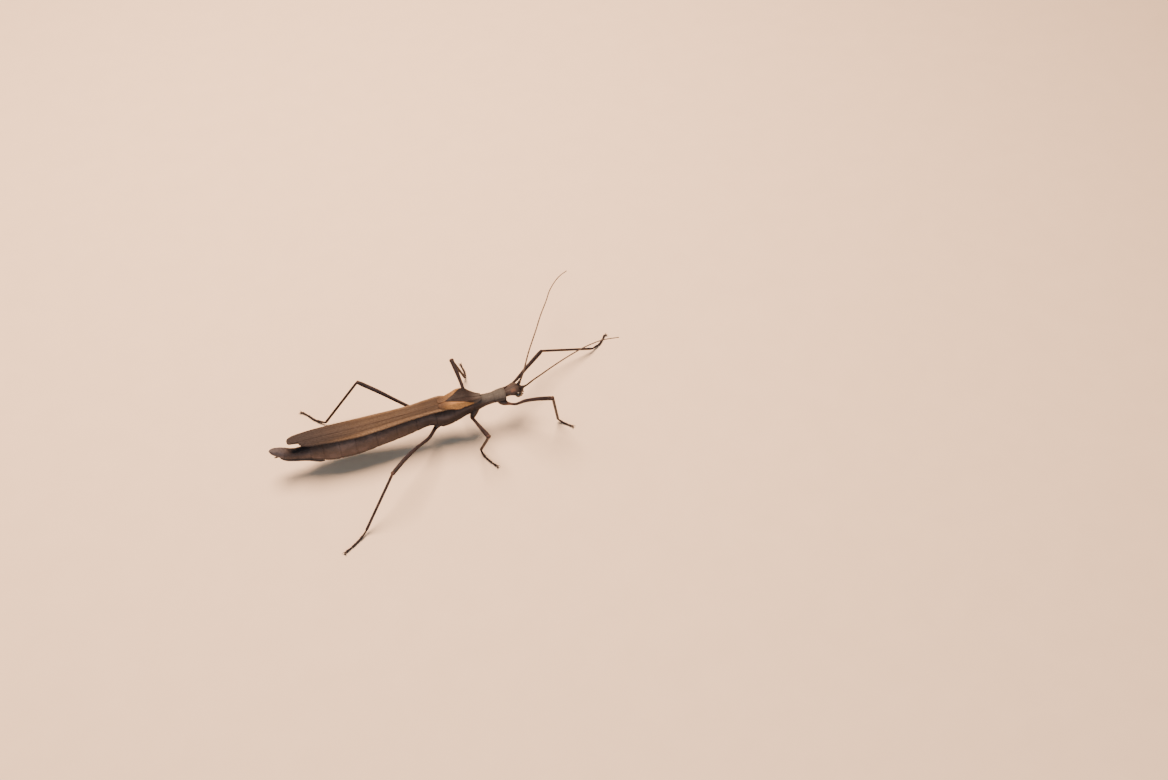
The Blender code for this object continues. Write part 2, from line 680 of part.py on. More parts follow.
for name, leg in LEGS.items():
    base, trochanter = (np.array(p, float) for p in leg["coxa"])
    knee, ankle = np.array(leg["knee"], float), np.array(leg["ankle"], float)
    bend = np.cross(knee - trochanter, ankle - knee)
    bend /= np.linalg.norm(bend)
    outward = np.cross(bend, knee - trochanter)

    coxa = tube(
        "coxa_" + name, between(base, trochanter, 0, 0.15, 5), (1.05, 1.05, 0.98, 0.86, 0.62), "leg", count=10
    )
    cut(coxa, trunk_cutter)

    thin, middle, thick = leg["thick"]
    curve = through([trochanter, *leg["femur"], knee], 120)
    points = trimmed(curve, 0.62 + GAP, 0.2, 10)
    radii = [thin * 1.12, thin, thin * 0.98, middle * 0.96, middle, middle * 1.04, thick * 0.95, thick, thick * 1.02, thick * 0.72]
    tube("femur_" + name, points, radii, "leg", reference=outward, count=8, power=2.3, domed=(False, True))
    femur_cutter = tube("cut_femur_" + name, [*points[4:-1], knee], [r + GAP for r in (*radii[4:-1], thick * 0.72)],
                        None, reference=outward, count=12, domed=(False, True), cutter=True)

    points = between(knee, ankle, thick * 0.66, 0.1, 8)
    radii = [TIBIA_RADIUS * f for f in (0.82, 0.97, 0.98, 0.97, 0.96, 0.96, 1.02, 0.94)]
    tibia = tube("tibia_" + name, points, radii, "leg", reference=np.cross(bend, ankle - knee), count=8,
                 power=2.3, domed=(False, True))
    cut(tibia, femur_cutter)

    toes = [np.array([x, y, TARSUS_HEIGHT + (0.32 if i == 0 else 0.0)]) for i, (x, y) in enumerate(leg["tarsus"])]
    curve = through([ankle + np.array([0, 0, -0.12]), *toes], 80)
    points = trimmed(curve, TIBIA_RADIUS + 0.2 + GAP, 0.05, 11)
    swell = (0.75, 0.8, 0.88, 0.98, 0.86, 1.0, 0.88, 1.0, 0.86, 1.0, 0.85)
    tube("tarsus_" + name, points, [TARSUS_RADIUS * f for f in swell], "leg", count=8,
         phase=math.pi / 8, floor=0.0, domed=(False, True))

    # both claws as one anchor-shaped piece in front of the last tarsal segment
    toe, before = np.array(toes[-1]), np.array(toes[-2])
    ahead = math.atan2(toe[1] - before[1], toe[0] - before[0]) + math.radians(leg["claw_turn"])
    forward = np.array([math.cos(ahead), math.sin(ahead), 0])
    left = np.array([-math.sin(ahead), math.cos(ahead), 0])
    root = toe + forward * (TARSUS_RADIUS * 0.3 + CLAW_RADIUS + GAP)
    hooks = [
        root + forward * f + left * s + np.array([0, 0, z])
        for f, s, z in (
            (0.62, 0.62, 0.0), (0.46, 0.52, 0.13), (0.18, 0.34, 0.18), (0.0, 0.0, 0.14),
            (0.18, -0.34, 0.18), (0.46, -0.52, 0.13), (0.62, -0.62, 0.0),
        )
    ]
    tube("claws_" + name, hooks, [CLAW_RADIUS * f for f in (0.5, 0.8, 1.0, 1.1, 1.0, 0.8, 0.5)],
         "claw", count=6, domed=(True, True), floor=0.06)
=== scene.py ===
"""The looks of the winged stick insect: one skin over head, body and legs, with wings, wing
covers, eyes, feelers, claws and plates as pieces of their own.

The tables repeat the CAD's, in millimetres in the insect's own axes: x forward from the tip of
the tail, y to its left, z up from the floor. phi is the angle from the top of the body, in degrees.
"""

import math

import bpy
import numpy as np
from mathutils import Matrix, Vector, kdtree


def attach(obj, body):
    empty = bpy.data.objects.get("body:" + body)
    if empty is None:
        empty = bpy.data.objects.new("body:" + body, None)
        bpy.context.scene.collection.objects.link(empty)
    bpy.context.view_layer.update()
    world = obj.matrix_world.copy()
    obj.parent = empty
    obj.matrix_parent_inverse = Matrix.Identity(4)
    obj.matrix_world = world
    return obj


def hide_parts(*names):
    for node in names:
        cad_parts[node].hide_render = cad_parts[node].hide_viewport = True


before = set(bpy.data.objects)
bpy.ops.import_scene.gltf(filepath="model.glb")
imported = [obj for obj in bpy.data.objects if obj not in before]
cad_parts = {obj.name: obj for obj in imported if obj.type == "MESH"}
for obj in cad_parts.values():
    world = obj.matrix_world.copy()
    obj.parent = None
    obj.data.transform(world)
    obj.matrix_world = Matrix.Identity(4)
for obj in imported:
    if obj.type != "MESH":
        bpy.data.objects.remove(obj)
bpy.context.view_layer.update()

MM = 0.001
ORIGIN = (49.56, 3.18)
INSET = 0.045  # the skin lies this far inside the solids

HEAD_START = 62.95
HEAD_YAW = 14.0
EYE_RADIUS = 0.92
EYE_AT = (3.0, 1.86, -0.22)
TRUNK_SQUARE = 2.45

TRUNK = (
    (62.86, 0.0, 10.25, 1.72, 1.38), (62.35, 0.0, 10.25, 1.95, 1.55), (61.3, 0.0, 10.2, 1.88, 1.55),
    (60.2, 0.0, 10.12, 1.7, 1.42), (59.2, 0.0, 10.02, 1.58, 1.4), (57.5, 0.0, 9.85, 1.6, 1.52),
    (55.8, 0.0, 9.68, 1.88, 1.8), (54.0, 0.0, 9.45, 2.2, 2.05), (52.0, 0.0, 9.25, 2.4, 2.2),
    (49.5, 0.0, 8.75, 2.85, 2.5), (47.0, 0.0, 8.25, 3.15, 2.8), (45.2, 0.0, 8.15, 3.2, 2.85),
    (43.6, 0.0, 8.6, 2.85, 2.55), (41.7, 0.0, 8.85, 2.5, 2.35), (38.0, 0.0, 8.45, 2.8, 2.65),
    (34.0, 0.0, 7.95, 3.15, 3.05), (29.5, 0.0, 7.6, 3.5, 3.3), (25.0, 0.0, 7.3, 3.9, 3.65),
    (21.0, 0.0, 7.05, 4.1, 3.8), (18.0, 0.0, 7.05, 4.02, 3.76), (15.8, 0.0, 6.92, 3.8, 3.72),
    (14.0, 0.0, 6.8, 3.35, 3.4), (11.6, 0.0, 6.55, 2.55, 2.55), (9.4, 0.0, 6.7, 1.9, 1.75),
    (7.3, 0.05, 6.85, 1.58, 1.4), (5.4, 0.15, 7.15, 1.5, 1.3), (3.7, 0.25, 7.95, 1.52, 1.22),
    (2.1, 0.35, 8.85, 1.32, 1.0), (0.9, 0.4, 9.5, 0.95, 0.68), (0.25, 0.42, 9.82, 0.5, 0.36),
)
HEAD = (
    (0.12, 1.12, 1.0, 10.55), (0.8, 1.2, 1.05, 10.62), (1.5, 1.48, 1.2, 10.62),
    (2.2, 1.76, 1.38, 10.5), (2.9, 1.86, 1.5, 10.35), (3.6, 1.8, 1.5, 10.15),
    (4.2, 1.52, 1.36, 9.95), (4.75, 1.12, 1.05, 9.78), (5.15, 0.68, 0.66, 9.66),
)
WING = (
    (4.2, 0.95, 11.35, 11.5), (5.0, 1.75, 11.4, 11.65), (6.6, 2.4, 11.45, 11.8),
    (8.8, 2.7, 11.4, 11.85), (13.0, 3.05, 11.25, 11.85), (18.0, 3.2, 11.1, 11.85),
    (23.0, 3.1, 11.15, 11.85), (28.0, 2.8, 11.3, 11.95), (33.0, 2.4, 11.5, 12.1),
    (38.0, 2.1, 11.75, 12.35), (42.0, 2.1, 12.15, 12.6), (45.5, 2.3, 12.4, 12.7),
    (48.5, 2.0, 12.15, 12.35), (51.0, 1.45, 11.9, 12.0),
)
WING_SPREAD = (  # what each wing's width differs from the table by: (x, left, right)
    (4.2, 0.0, 0.0), (9.0, 0.15, -0.45), (13.0, 0.2, -0.55), (18.0, 0.2, -0.3), (24.0, 0.25, 0.0), (28.0, 0.4, 0.0),
    (33.0, 0.6, 0.0), (38.0, 0.85, 0.0), (42.0, 1.0, 0.0), (45.5, 0.85, 0.0), (48.5, 0.3, 0.0), (51.0, 0.0, 0.0),
)
WING_TIP = {"left": 4.95, "right": 7.75}
WING_SEAM = {"left": -0.28, "right": 0.34}  # distance of the inner edge from the midline
TEGMEN = (
    (56.3, 0.35, 12.0, 0.75, 12.02, 1.2, 11.65), (55.2, 0.25, 12.2, 1.05, 12.35, 1.7, 11.65),
    (53.6, 0.2, 12.6, 1.75, 13.15, 2.5, 11.75), (52.1, 0.16, 13.0, 2.4, 14.05, 3.15, 12.05),
    (50.4, 0.16, 13.22, 2.4, 14.2, 3.3, 12.4), (48.4, 0.16, 13.35, 1.9, 13.8, 2.85, 12.6),
    (46.6, 0.22, 13.4, 1.55, 13.62, 2.35, 12.85), (45.3, 0.4, 13.5, 1.35, 13.66, 1.95, 13.2),
    (44.5, 0.68, 13.48, 1.02, 13.54, 1.32, 13.34),
)
LEGS = {
    "front_left": {
        "coxa": ((61.4, 0.9, 9.1), (62.8, 2.7, 9.05)),
        "femur": ((66.4, 4.55, 8.5), (71.2, 8.35, 8.75)),
        "knee": (76.8, 12.75, 9.0), "ankle": (92.6, 16.0, 1.08),
        "tarsus": ((93.75, 16.7), (95.55, 17.8), (97.0, 19.35), (97.8, 20.4)),
        "claw_turn": -38, "thick": (0.36, 0.47, 0.56), "rust": 0.0,
    },
    "front_right": {
        "coxa": ((61.4, -0.9, 9.0), (62.85, -1.95, 8.5)),
        "femur": ((64.7, -3.7, 9.5), (66.9, -5.2, 11.7), (69.6, -7.8, 14.5)),
        "knee": (72.9, -11.45, 17.8), "ankle": (75.8, -5.5, 1.08),
        "tarsus": ((76.4, -6.1), (77.3, -6.95), (78.05, -7.7), (78.6, -8.25)),
        "claw_turn": 0, "thick": (0.36, 0.47, 0.56), "rust": 0.9,
    },
    "mid_left": {
        "coxa": ((54.5, 1.1, 8.6), (52.9, 2.7, 7.2)),
        "femur": ((52.95, 6.0, 8.35), (52.55, 10.2, 10.4)),
        "knee": (51.9, 14.3, 12.4), "ankle": (55.4, 16.7, 1.08),
        "tarsus": ((55.7, 17.9), (55.9, 19.4), (55.75, 20.8), (55.6, 22.0)),
        "claw_turn": 0, "thick": (0.42, 0.49, 0.6), "rust": 0.3,
    },
    "mid_right": {
        "coxa": ((54.5, -1.1, 8.6), (52.9, -2.7, 7.2)),
        "femur": ((53.4, -6.2, 8.75), (54.0, -10.2, 10.6)),
        "knee": (54.7, -14.4, 12.4), "ankle": (53.2, -9.2, 1.08),
        "tarsus": ((53.4, -10.3), (54.0, -11.8), (54.9, -13.5), (55.8, -14.9)),
        "claw_turn": 0, "thick": (0.42, 0.49, 0.6), "rust": 1.0,
    },
    "hind_left": {
        "coxa": ((44.9, 1.2, 7.3), (43.0, 2.15, 6.05)),
        "femur": ((39.6, 4.35, 7.0), (35.0, 7.65, 9.0), (30.6, 10.9, 10.95)),
        "knee": (26.1, 14.0, 12.75), "ankle": (15.6, 12.8, 1.08),
        "tarsus": ((14.5, 13.7), (12.9, 15.2), (11.4, 17.3), (10.2, 18.7)),
        "claw_turn": 22, "thick": (0.5, 0.46, 0.56), "rust": 0.3,
    },
    "hind_right": {
        "coxa": ((44.9, -1.2, 7.3), (43.0, -2.15, 6.05)),
        "femur": ((40.35, -6.1, 7.4), (36.75, -9.6, 9.3), (32.85, -13.45, 10.8)),
        "knee": (28.8, -17.6, 11.6), "ankle": (19.2, -24.9, 1.08),
        "tarsus": ((18.1, -25.9), (16.3, -27.2), (14.5, -28.4), (13.2, -29.1)),
        "claw_turn": 12, "thick": (0.5, 0.46, 0.56), "rust": 0.3,
    },
}
ANTENNAE = {
    "left": (
        (66.55, 1.0, 11.0), (67.4, 1.55, 11.8), (68.2, 2.4, 12.35), (69.3, 4.0, 12.8),
        (72.3, 9.3, 13.8), (76.3, 15.8, 14.5), (79.1, 20.6, 14.8), (82.1, 25.3, 14.8),
        (84.2, 29.0, 14.6), (86.9, 32.5, 14.2), (89.1, 34.7, 13.8), (91.7, 36.6, 13.2),
    ),
    "right": (
        (66.9, -0.1, 10.9), (67.7, -0.3, 11.6), (68.7, -0.65, 12.4), (70.5, -1.2, 14.5),
        (72.1, -2.3, 17.0), (75.1, -3.8, 21.0), (79.4, -5.9, 26.3), (83.3, -7.6, 30.2),
        (87.0, -9.2, 32.9), (90.8, -10.8, 34.3),
    ),
}
# Borders between the rings of the body, as x, with the depth of each step
PLATE_BORDERS = (
    (59.7, 0.05), (54.0, 0.06), (48.6, 0.06), (43.7, 0.1), (38.4, 0.09), (33.0, 0.09), (27.5, 0.09),
    (22.0, 0.09), (17.8, 0.09), (13.6, 0.09), (10.2, 0.08), (6.9, 0.07), (3.6, 0.07),
)


# Curves, tables and small helpers --------------------------------------------------------------
def through(points, count):
    """Evenly spaced samples of a smooth curve through the points (centripetal Catmull-Rom)."""
    points = np.asarray(points, float)
    ends = np.vstack([2 * points[0] - points[1], points, 2 * points[-1] - points[-2]])
    knots = np.concatenate([[0], np.cumsum(np.linalg.norm(np.diff(ends, axis=0), axis=1) ** 0.5)])
    dense = []
    for i in range(1, len(ends) - 2):
        t0, t1, t2, t3 = knots[i - 1 : i + 3]
        for t in np.linspace(t1, t2, 16, endpoint=False):
            a1 = (t1 - t) / (t1 - t0) * ends[i - 1] + (t - t0) / (t1 - t0) * ends[i]
            a2 = (t2 - t) / (t2 - t1) * ends[i] + (t - t1) / (t2 - t1) * ends[i + 1]
            a3 = (t3 - t) / (t3 - t2) * ends[i + 1] + (t - t2) / (t3 - t2) * ends[i + 2]
            b1 = (t2 - t) / (t2 - t0) * a1 + (t - t0) / (t2 - t0) * a2
            b2 = (t3 - t) / (t3 - t1) * a2 + (t - t1) / (t3 - t1) * a3
            dense.append((t2 - t) / (t2 - t1) * b1 + (t - t1) / (t2 - t1) * b2)
    dense.append(points[-1])
    return resampled(np.array(dense), 0, 0, count)


def resampled(curve, start, end, count):
    """count points along a polyline, from start past its beginning to end short of its end."""
    along = np.concatenate([[0], np.cumsum(np.linalg.norm(np.diff(curve, axis=0), axis=1))])
    wanted = np.linspace(start, along[-1] - end, count)
    return np.column_stack([np.interp(wanted, along, curve[:, k]) for k in range(3)])


def length_of(curve):
    return float(np.linalg.norm(np.diff(curve, axis=0), axis=1).sum())


def table(rows, x):
    """The row of a table at x, smoothly between its stations (monotone in x either way)."""
    rows = np.asarray(rows, float)
    if rows[0, 0] > rows[-1, 0]:
        rows = rows[::-1]
    xs = rows[:, 0]
    x = min(max(x, xs[0]), xs[-1])
    i = int(min(max(np.searchsorted(xs, x) - 1, 0), len(xs) - 2))
    h = xs[i + 1] - xs[i]
    t = (x - xs[i]) / h

    def slope(k):
        if k == 0 or k == len(xs) - 1:
            j = min(k, len(xs) - 2)
            return (rows[j + 1] - rows[j]) / (xs[j + 1] - xs[j])
        left = (rows[k] - rows[k - 1]) / (xs[k] - xs[k - 1])
        right = (rows[k + 1] - rows[k]) / (xs[k + 1] - xs[k])
        return np.where(left * right > 0, 2 * left * right / (left + right + 1e-12), 0)

    a, b = slope(i), slope(i + 1)
    return (
        (2 * t**3 - 3 * t**2 + 1) * rows[i]
        + (t**3 - 2 * t**2 + t) * h * a
        + (-2 * t**3 + 3 * t**2) * rows[i + 1]
        + (t**3 - t**2) * h * b
    )


def smooth(a, b, x):
    t = np.clip((np.asarray(x, float) - a) / (b - a), 0, 1)
    return t * t * (3 - 2 * t)


def bell(x, centre, width):
    return np.exp(-(((np.asarray(x, float) - centre) / width) ** 2))


def unit(v):
    v = np.asarray(v, float)
    return v / np.maximum(np.linalg.norm(v, axis=-1, keepdims=True), 1e-12)


def rumple(points, size, seed, terms=28):
    """Soft seeded noise of about unit height over points in mm, with features about size wide."""
    rng = np.random.default_rng(seed)
    waves = unit(rng.normal(size=(terms, 3))) * (2 * math.pi / size) * rng.uniform(0.6, 1.5, (terms, 1))
    shift = rng.uniform(0, 2 * math.pi, terms)
    flat = np.asarray(points, float).reshape(-1, 3)
    total = np.zeros(len(flat))
    for wave, at in zip(waves, shift):
        total += np.cos(flat @ wave + at)
    return (total / math.sqrt(terms / 2)).reshape(np.shape(points)[:-1])


def stations(start, end, step, marks=(), fine=0.035, reach=0.17):
    """Places from start up to end, step apart, closer together round each mark."""
    places = list(np.linspace(start, end, max(2, int(round((end - start) / step)) + 1)))
    for mark in marks:
        places = [p for p in places if abs(p - mark) > reach]
        places += [p for p in np.arange(mark - reach, mark + reach + 1e-6, fine) if start < p < end]
    return np.array(sorted(places))


def round_section(count, power=2.0, phase=0.0):
    """Unit superellipse: across and up for each corner, and the angle from +across in degrees."""
    angle = 2 * math.pi * np.arange(count) / count + phase
    c, s = np.cos(angle), np.sin(angle)
    across = np.sign(c) * np.abs(c) ** (2 / power)
    up = np.sign(s) * np.abs(s) ** (2 / power)
    return across, up, np.degrees(angle) % 360


def frames(points, reference):
    """Tangent, side and up along a curve, with the side square to the reference direction."""
    points = np.asarray(points, float)
    tangent = np.empty_like(points)
    tangent[1:-1] = points[2:] - points[:-2]
    tangent[0], tangent[-1] = points[1] - points[0], points[-1] - points[-2]
    tangent = unit(tangent)
    side = unit(np.cross(np.broadcast_to(np.asarray(reference, float), points.shape), tangent))
    return tangent, side, np.cross(tangent, side)


# Meshes ----------------------------------------------------------------------------------------
SHAPES = {}


def to_model(points):
    points = np.asarray(points, float)
    return np.column_stack([
        (points[:, 0] - ORIGIN[0]) * MM, (points[:, 1] - ORIGIN[1]) * MM, points[:, 2] * MM
    ])


def solid(name, verts, faces, masks=None, parts=None, sharp=50, materials=()):
    """A mesh object from mm points, turned outward, with named float masks on its points."""
    verts = to_model(verts)
    mesh = bpy.data.meshes.new(name)
    mesh.from_pydata(verts.tolist(), [], faces)
    mesh.validate()
    tri = np.empty(len(mesh.loop_triangles) * 3, np.int32)
    mesh.calc_loop_triangles()
    tri = np.empty(len(mesh.loop_triangles) * 3, np.int32)
    mesh.loop_triangles.foreach_get("vertices", tri)
    corners = verts[tri.reshape(-1, 3)]
    if np.einsum("ij,ij->i", corners[:, 0], np.cross(corners[:, 1], corners[:, 2])).sum() < 0:
        mesh.flip_normals()
    for key, values in (masks or {}).items():
        layer = mesh.attributes.new(key, "FLOAT", "POINT")
        layer.data.foreach_set("value", np.asarray(values, np.float32).ravel())
    for made in materials:
        mesh.materials.append(made)
    if parts is not None:
        mesh.polygons.foreach_set("material_index", np.asarray(parts, np.int32))
    mesh.shade_smooth()
    if sharp:
        mesh.set_sharp_from_angle(angle=math.radians(sharp))
    made = bpy.data.objects.new(name, mesh)
    bpy.context.scene.collection.objects.link(made)
    return made


def loft_data(rings, masks=None, first=None, last=None):
    """Points, faces and masks of a closed loft through rings (R, N, 3), with a pole at each end."""
    rings = np.asarray(rings, float)
    rows, n = rings.shape[:2]
    first = rings[0].mean(0) if first is None else np.asarray(first, float)
    last = rings[-1].mean(0) if last is None else np.asarray(last, float)
    verts = np.vstack([rings.reshape(-1, 3), first, last])
    i, k = np.meshgrid(np.arange(rows - 1), np.arange(n), indexing="ij")
    j = (k + 1) % n
    quads = np.stack([i * n + k, i * n + j, (i + 1) * n + j, (i + 1) * n + k], -1).reshape(-1, 4).tolist()
    around = np.arange(n)
    after = (around + 1) % n
    top = (rows - 1) * n
    ends = np.stack([after, around, np.full(n, rows * n)], -1).tolist()
    ends += np.stack([top + around, top + after, np.full(n, rows * n + 1)], -1).tolist()
    out = {}
    for key, values in (masks or {}).items():
        values = np.broadcast_to(np.asarray(values, float), (rows, n))
        out[key] = np.concatenate([values.ravel(), [values[0].mean(), values[-1].mean()]])
    return verts, quads + ends, out


def loft(name, rings, masks=None, first=None, last=None, materials=(), sharp=50):
    verts, faces, out = loft_data(rings, masks, first, last)
    return solid(name, verts, faces, out, sharp=sharp, materials=materials)


def gather(name, pieces, materials=(), sharp=50):
    """One object from several (verts, faces, masks, material index) lists."""
    verts, faces, masks, parts, start = [], [], {}, [], 0
    keys = sorted({key for piece in pieces for key in piece[2]})
    for points, polygons, own, part in pieces:
        verts.append(points)
        faces += [[v + start for v in face] for face in polygons]
        for key in keys:
            masks.setdefault(key, []).append(np.asarray(own.get(key, np.zeros(len(points))), float))
        parts += [part] * len(polygons)
        start += len(points)
    return solid(
        name, np.vstack(verts), faces, {k: np.concatenate(v) for k, v in masks.items()}, parts,
        sharp=sharp, materials=materials,
    )


def tube_rings(points, across, up, reference, count, power=2.0, phase=0.0, relief=None, floor=None):
    """Rings along a curve. relief(row fraction, angle) gives an added height in mm."""
    points = np.asarray(points, float)
    _, side, over = frames(points, reference)
    w, h, angle = round_section(count, power, phase)
    across, up = np.asarray(across, float)[:, None] * w, np.asarray(up, float)[:, None] * h
    if relief is not None:
        reach = np.hypot(across, up)
        more = 1 + relief(np.linspace(0, 1, len(points))[:, None], angle[None, :]) / np.maximum(reach, 1e-6)
        across, up = across * more, up * more
    rings = points[:, None, :] + across[..., None] * side[:, None, :] + up[..., None] * over[:, None, :]
    if floor is not None:
        rings[..., 2] = np.maximum(rings[..., 2], floor)
    return rings


def domed(points, radii, ends=(True, True), steps=5, bulge=0.8):
    """The same curve and radii with a rounded cap added at either end."""
    points, radii = np.asarray(points, float), np.asarray(radii, float)
    lead = [t for t in np.linspace(0, 1, steps + 1)[1:]]
    if ends[0]:
        back = unit(points[0] - points[1])
        extra = [points[0] + back * radii[0] * bulge * math.sin(t * math.pi / 2 * 0.97) for t in lead]
        points = np.vstack([extra[::-1], points])
        radii = np.concatenate([[radii[0] * math.cos(t * math.pi / 2 * 0.97) for t in lead][::-1], radii])
    if ends[1]:
        ahead = unit(points[-1] - points[-2])
        extra = [points[-1] + ahead * radii[-1] * bulge * math.sin(t * math.pi / 2 * 0.97) for t in lead]
        points = np.vstack([points, extra])
        radii = np.concatenate([radii, [radii[-1] * math.cos(t * math.pi / 2 * 0.97) for t in lead]])
    return points, radii


# Materials -------------------------------------------------------------------------------------
def colour(r, g, b):
    """Linear colour from 0-255 display values."""
    return tuple(((c / 255 + 0.055) / 1.055) ** 2.4 if c > 10 else c / 255 / 12.92 for c in (r, g, b)) + (1.0,)


class Finish:
    """A Principled material built up from masks, noise and bumps."""

    def __init__(self, name, roughness=0.5, **sockets):
        self.made = bpy.data.materials.new(name)
        self.made.use_nodes = True
        self.tree = self.made.node_tree
        self.shader = self.tree.nodes["Principled BSDF"]
        self.shader.inputs["Roughness"].default_value = roughness
        for key, value in sockets.items():
            self.shader.inputs[key.replace("_", " ")].default_value = value
        self.place = self.node("ShaderNodeTexCoord").outputs["Object"]
        self.normal = None

    def node(self, kind, inputs=None, **props):
        made = self.tree.nodes.new(kind)
        for key, value in props.items():
            setattr(made, key, value)
        for key, value in (inputs or {}).items():
            self.put(value, made.inputs[key])
        return made

    def put(self, value, socket):
        if isinstance(value, bpy.types.NodeSocket):
            self.tree.links.new(value, socket)
        else:
            socket.default_value = value

    def mask(self, name):
        return self.node("ShaderNodeAttribute", attribute_name=name, attribute_type="GEOMETRY").outputs["Fac"]

    def math(self, operation, a, b=0.0, clamp=False):
        return self.node("ShaderNodeMath", {0: a, 1: b}, operation=operation, use_clamp=clamp).outputs[0]

    def scaled(self, value, low, high, to_low=0.0, to_high=1.0, soft=True):
        made = self.node("ShaderNodeMapRange", {
            "Value": value, "From Min": low, "From Max": high, "To Min": to_low, "To Max": to_high,
        }, interpolation_type="SMOOTHSTEP" if soft else "LINEAR")
        return made.outputs["Result"]

    def noise(self, size, detail=3.0, rough=0.55, stretch=None, warp=0.0):
        """Noise with features about size mm wide, drawn out along x by stretch."""
        place = self.place
        if stretch:
            place = self.node("ShaderNodeMapping", {"Vector": place, "Scale": (1 / stretch, 1, 1)}).outputs[0]
        return self.node("ShaderNodeTexNoise", {
            "Vector": place, "Scale": 1000 / size, "Detail": detail, "Roughness": rough, "Distortion": warp,
        }).outputs["Fac"]

    def cells(self, size, feature="F1", metric="EUCLIDEAN"):
        return self.node("ShaderNodeTexVoronoi", {"Vector": self.place, "Scale": 1000 / size}, feature=feature).outputs["Distance"]

    def mix(self, share, a, b, blend="MIX"):
        made = self.node("ShaderNodeMix", data_type="RGBA", blend_type=blend, clamp_factor=True)
        self.put(share, made.inputs[0])
        self.put(a, made.inputs[6])
        self.put(b, made.inputs[7])
        return made.outputs[2]

    def ramp(self, value, stops):
        made = self.node("ShaderNodeValToRGB", {"Fac": value})
        points = made.color_ramp.elements
        while len(points) > 1:
            points.remove(points[-1])
        points[0].position, points[0].color = stops[0]
        for at, tint in stops[1:]:
            points.new(at).color = tint
        made.color_ramp.interpolation = "EASE"
        return made.outputs["Color"]

    def shade(self, tint, noise, low, high):
        """The tint made darker and lighter by noise, between low and high times."""
        level = self.scaled(noise, 0.3, 0.7, low, high, soft=False)
        grey = self.node("ShaderNodeCombineColor", {0: level, 1: level, 2: level}).outputs[0]
        return self.mix(1.0, tint, grey, "MULTIPLY")

    def bump(self, height, depth, strength=1.0):
        """Adds relief, depth mm deep."""
        inputs = {"Height": height, "Distance": depth * MM, "Strength": strength}
        if self.normal is not None:
            inputs["Normal"] = self.normal
        self.normal = self.node("ShaderNodeBump", inputs).outputs["Normal"]

    def done(self, tint, roughness=None):
        self.put(tint, self.shader.inputs["Base Color"])
        if roughness is not None:
            self.put(roughness, self.shader.inputs["Roughness"])
        if self.normal is not None:
            self.put(self.normal, self.shader.inputs["Normal"])
        self.made.diffuse_color = (0.08, 0.05, 0.04, 1)
        return self.made


def skin_finish():
    f = Finish("cuticle", 0.58, Specular_IOR_Level=0.15)
    broad, middle, fine = f.noise(2.6, 3), f.noise(0.7, 3, 0.6), f.noise(0.16, 2, 0.6)
    body = f.ramp(f.scaled(broad, 0.34, 0.66, soft=False), [(0.0, SKIN["body_dark"]), (0.55, SKIN["body"]), (1.0, SKIN["body_light"])])
    speck = f.scaled(middle, 0.54, 0.66)
    body = f.mix(f.math("MULTIPLY", speck, 0.18), body, SKIN["speck"])
    leg = f.ramp(f.scaled(broad, 0.34, 0.66, soft=False), [(0.0, SKIN["leg_dark"]), (0.5, SKIN["leg"]), (1.0, SKIN["leg_light"])])
    tint = f.mix(f.mask("limb"), body, leg)
    grey = f.shade(SKIN["grey"], middle, 0.8, 1.2)
    grey = f.mix(f.scaled(broad, 0.45, 0.7, 0, 0.35), grey, SKIN["grey_warm"])
    tint = f.mix(f.mask("grey"), tint, grey)
    # painted shade: the underside gets a darker, cooler tint that cancels the floor's warm bounce light
    tint = f.mix(f.mask("belly"), tint, f.shade(SKIN["belly"], middle, 0.8, 1.2))
    tint = f.mix(f.math("MULTIPLY", f.mask("tail"), 0.85), tint, f.shade(SKIN["tail"], middle, 0.75, 1.25))
    tint = f.mix(f.math("MULTIPLY", f.mask("tip"), 0.8), tint, f.shade(SKIN["tip"], middle, 0.75, 1.25))
    tint = f.mix(f.mask("pale"), tint, f.shade(SKIN["pale"], middle, 0.8, 1.2))
    tint = f.mix(f.mask("rust"), tint, f.shade(SKIN["rust"], middle, 0.75, 1.25))
    tint = f.mix(f.math("MULTIPLY", f.mask("dark"), 0.85), tint, SKIN["dark"])
    tint = f.shade(tint, fine, 0.86, 1.14)
    f.bump(f.cells(0.13), 0.022, 0.55)
    f.bump(middle, 0.05, 0.5)
    f.bump(fine, 0.015, 0.6)
    rough = f.math("ADD", f.scaled(middle, 0.3, 0.7, 0.5, 0.66, soft=False), f.math("MULTIPLY", f.mask("grey"), 0.08))
    return f.done(tint, rough)


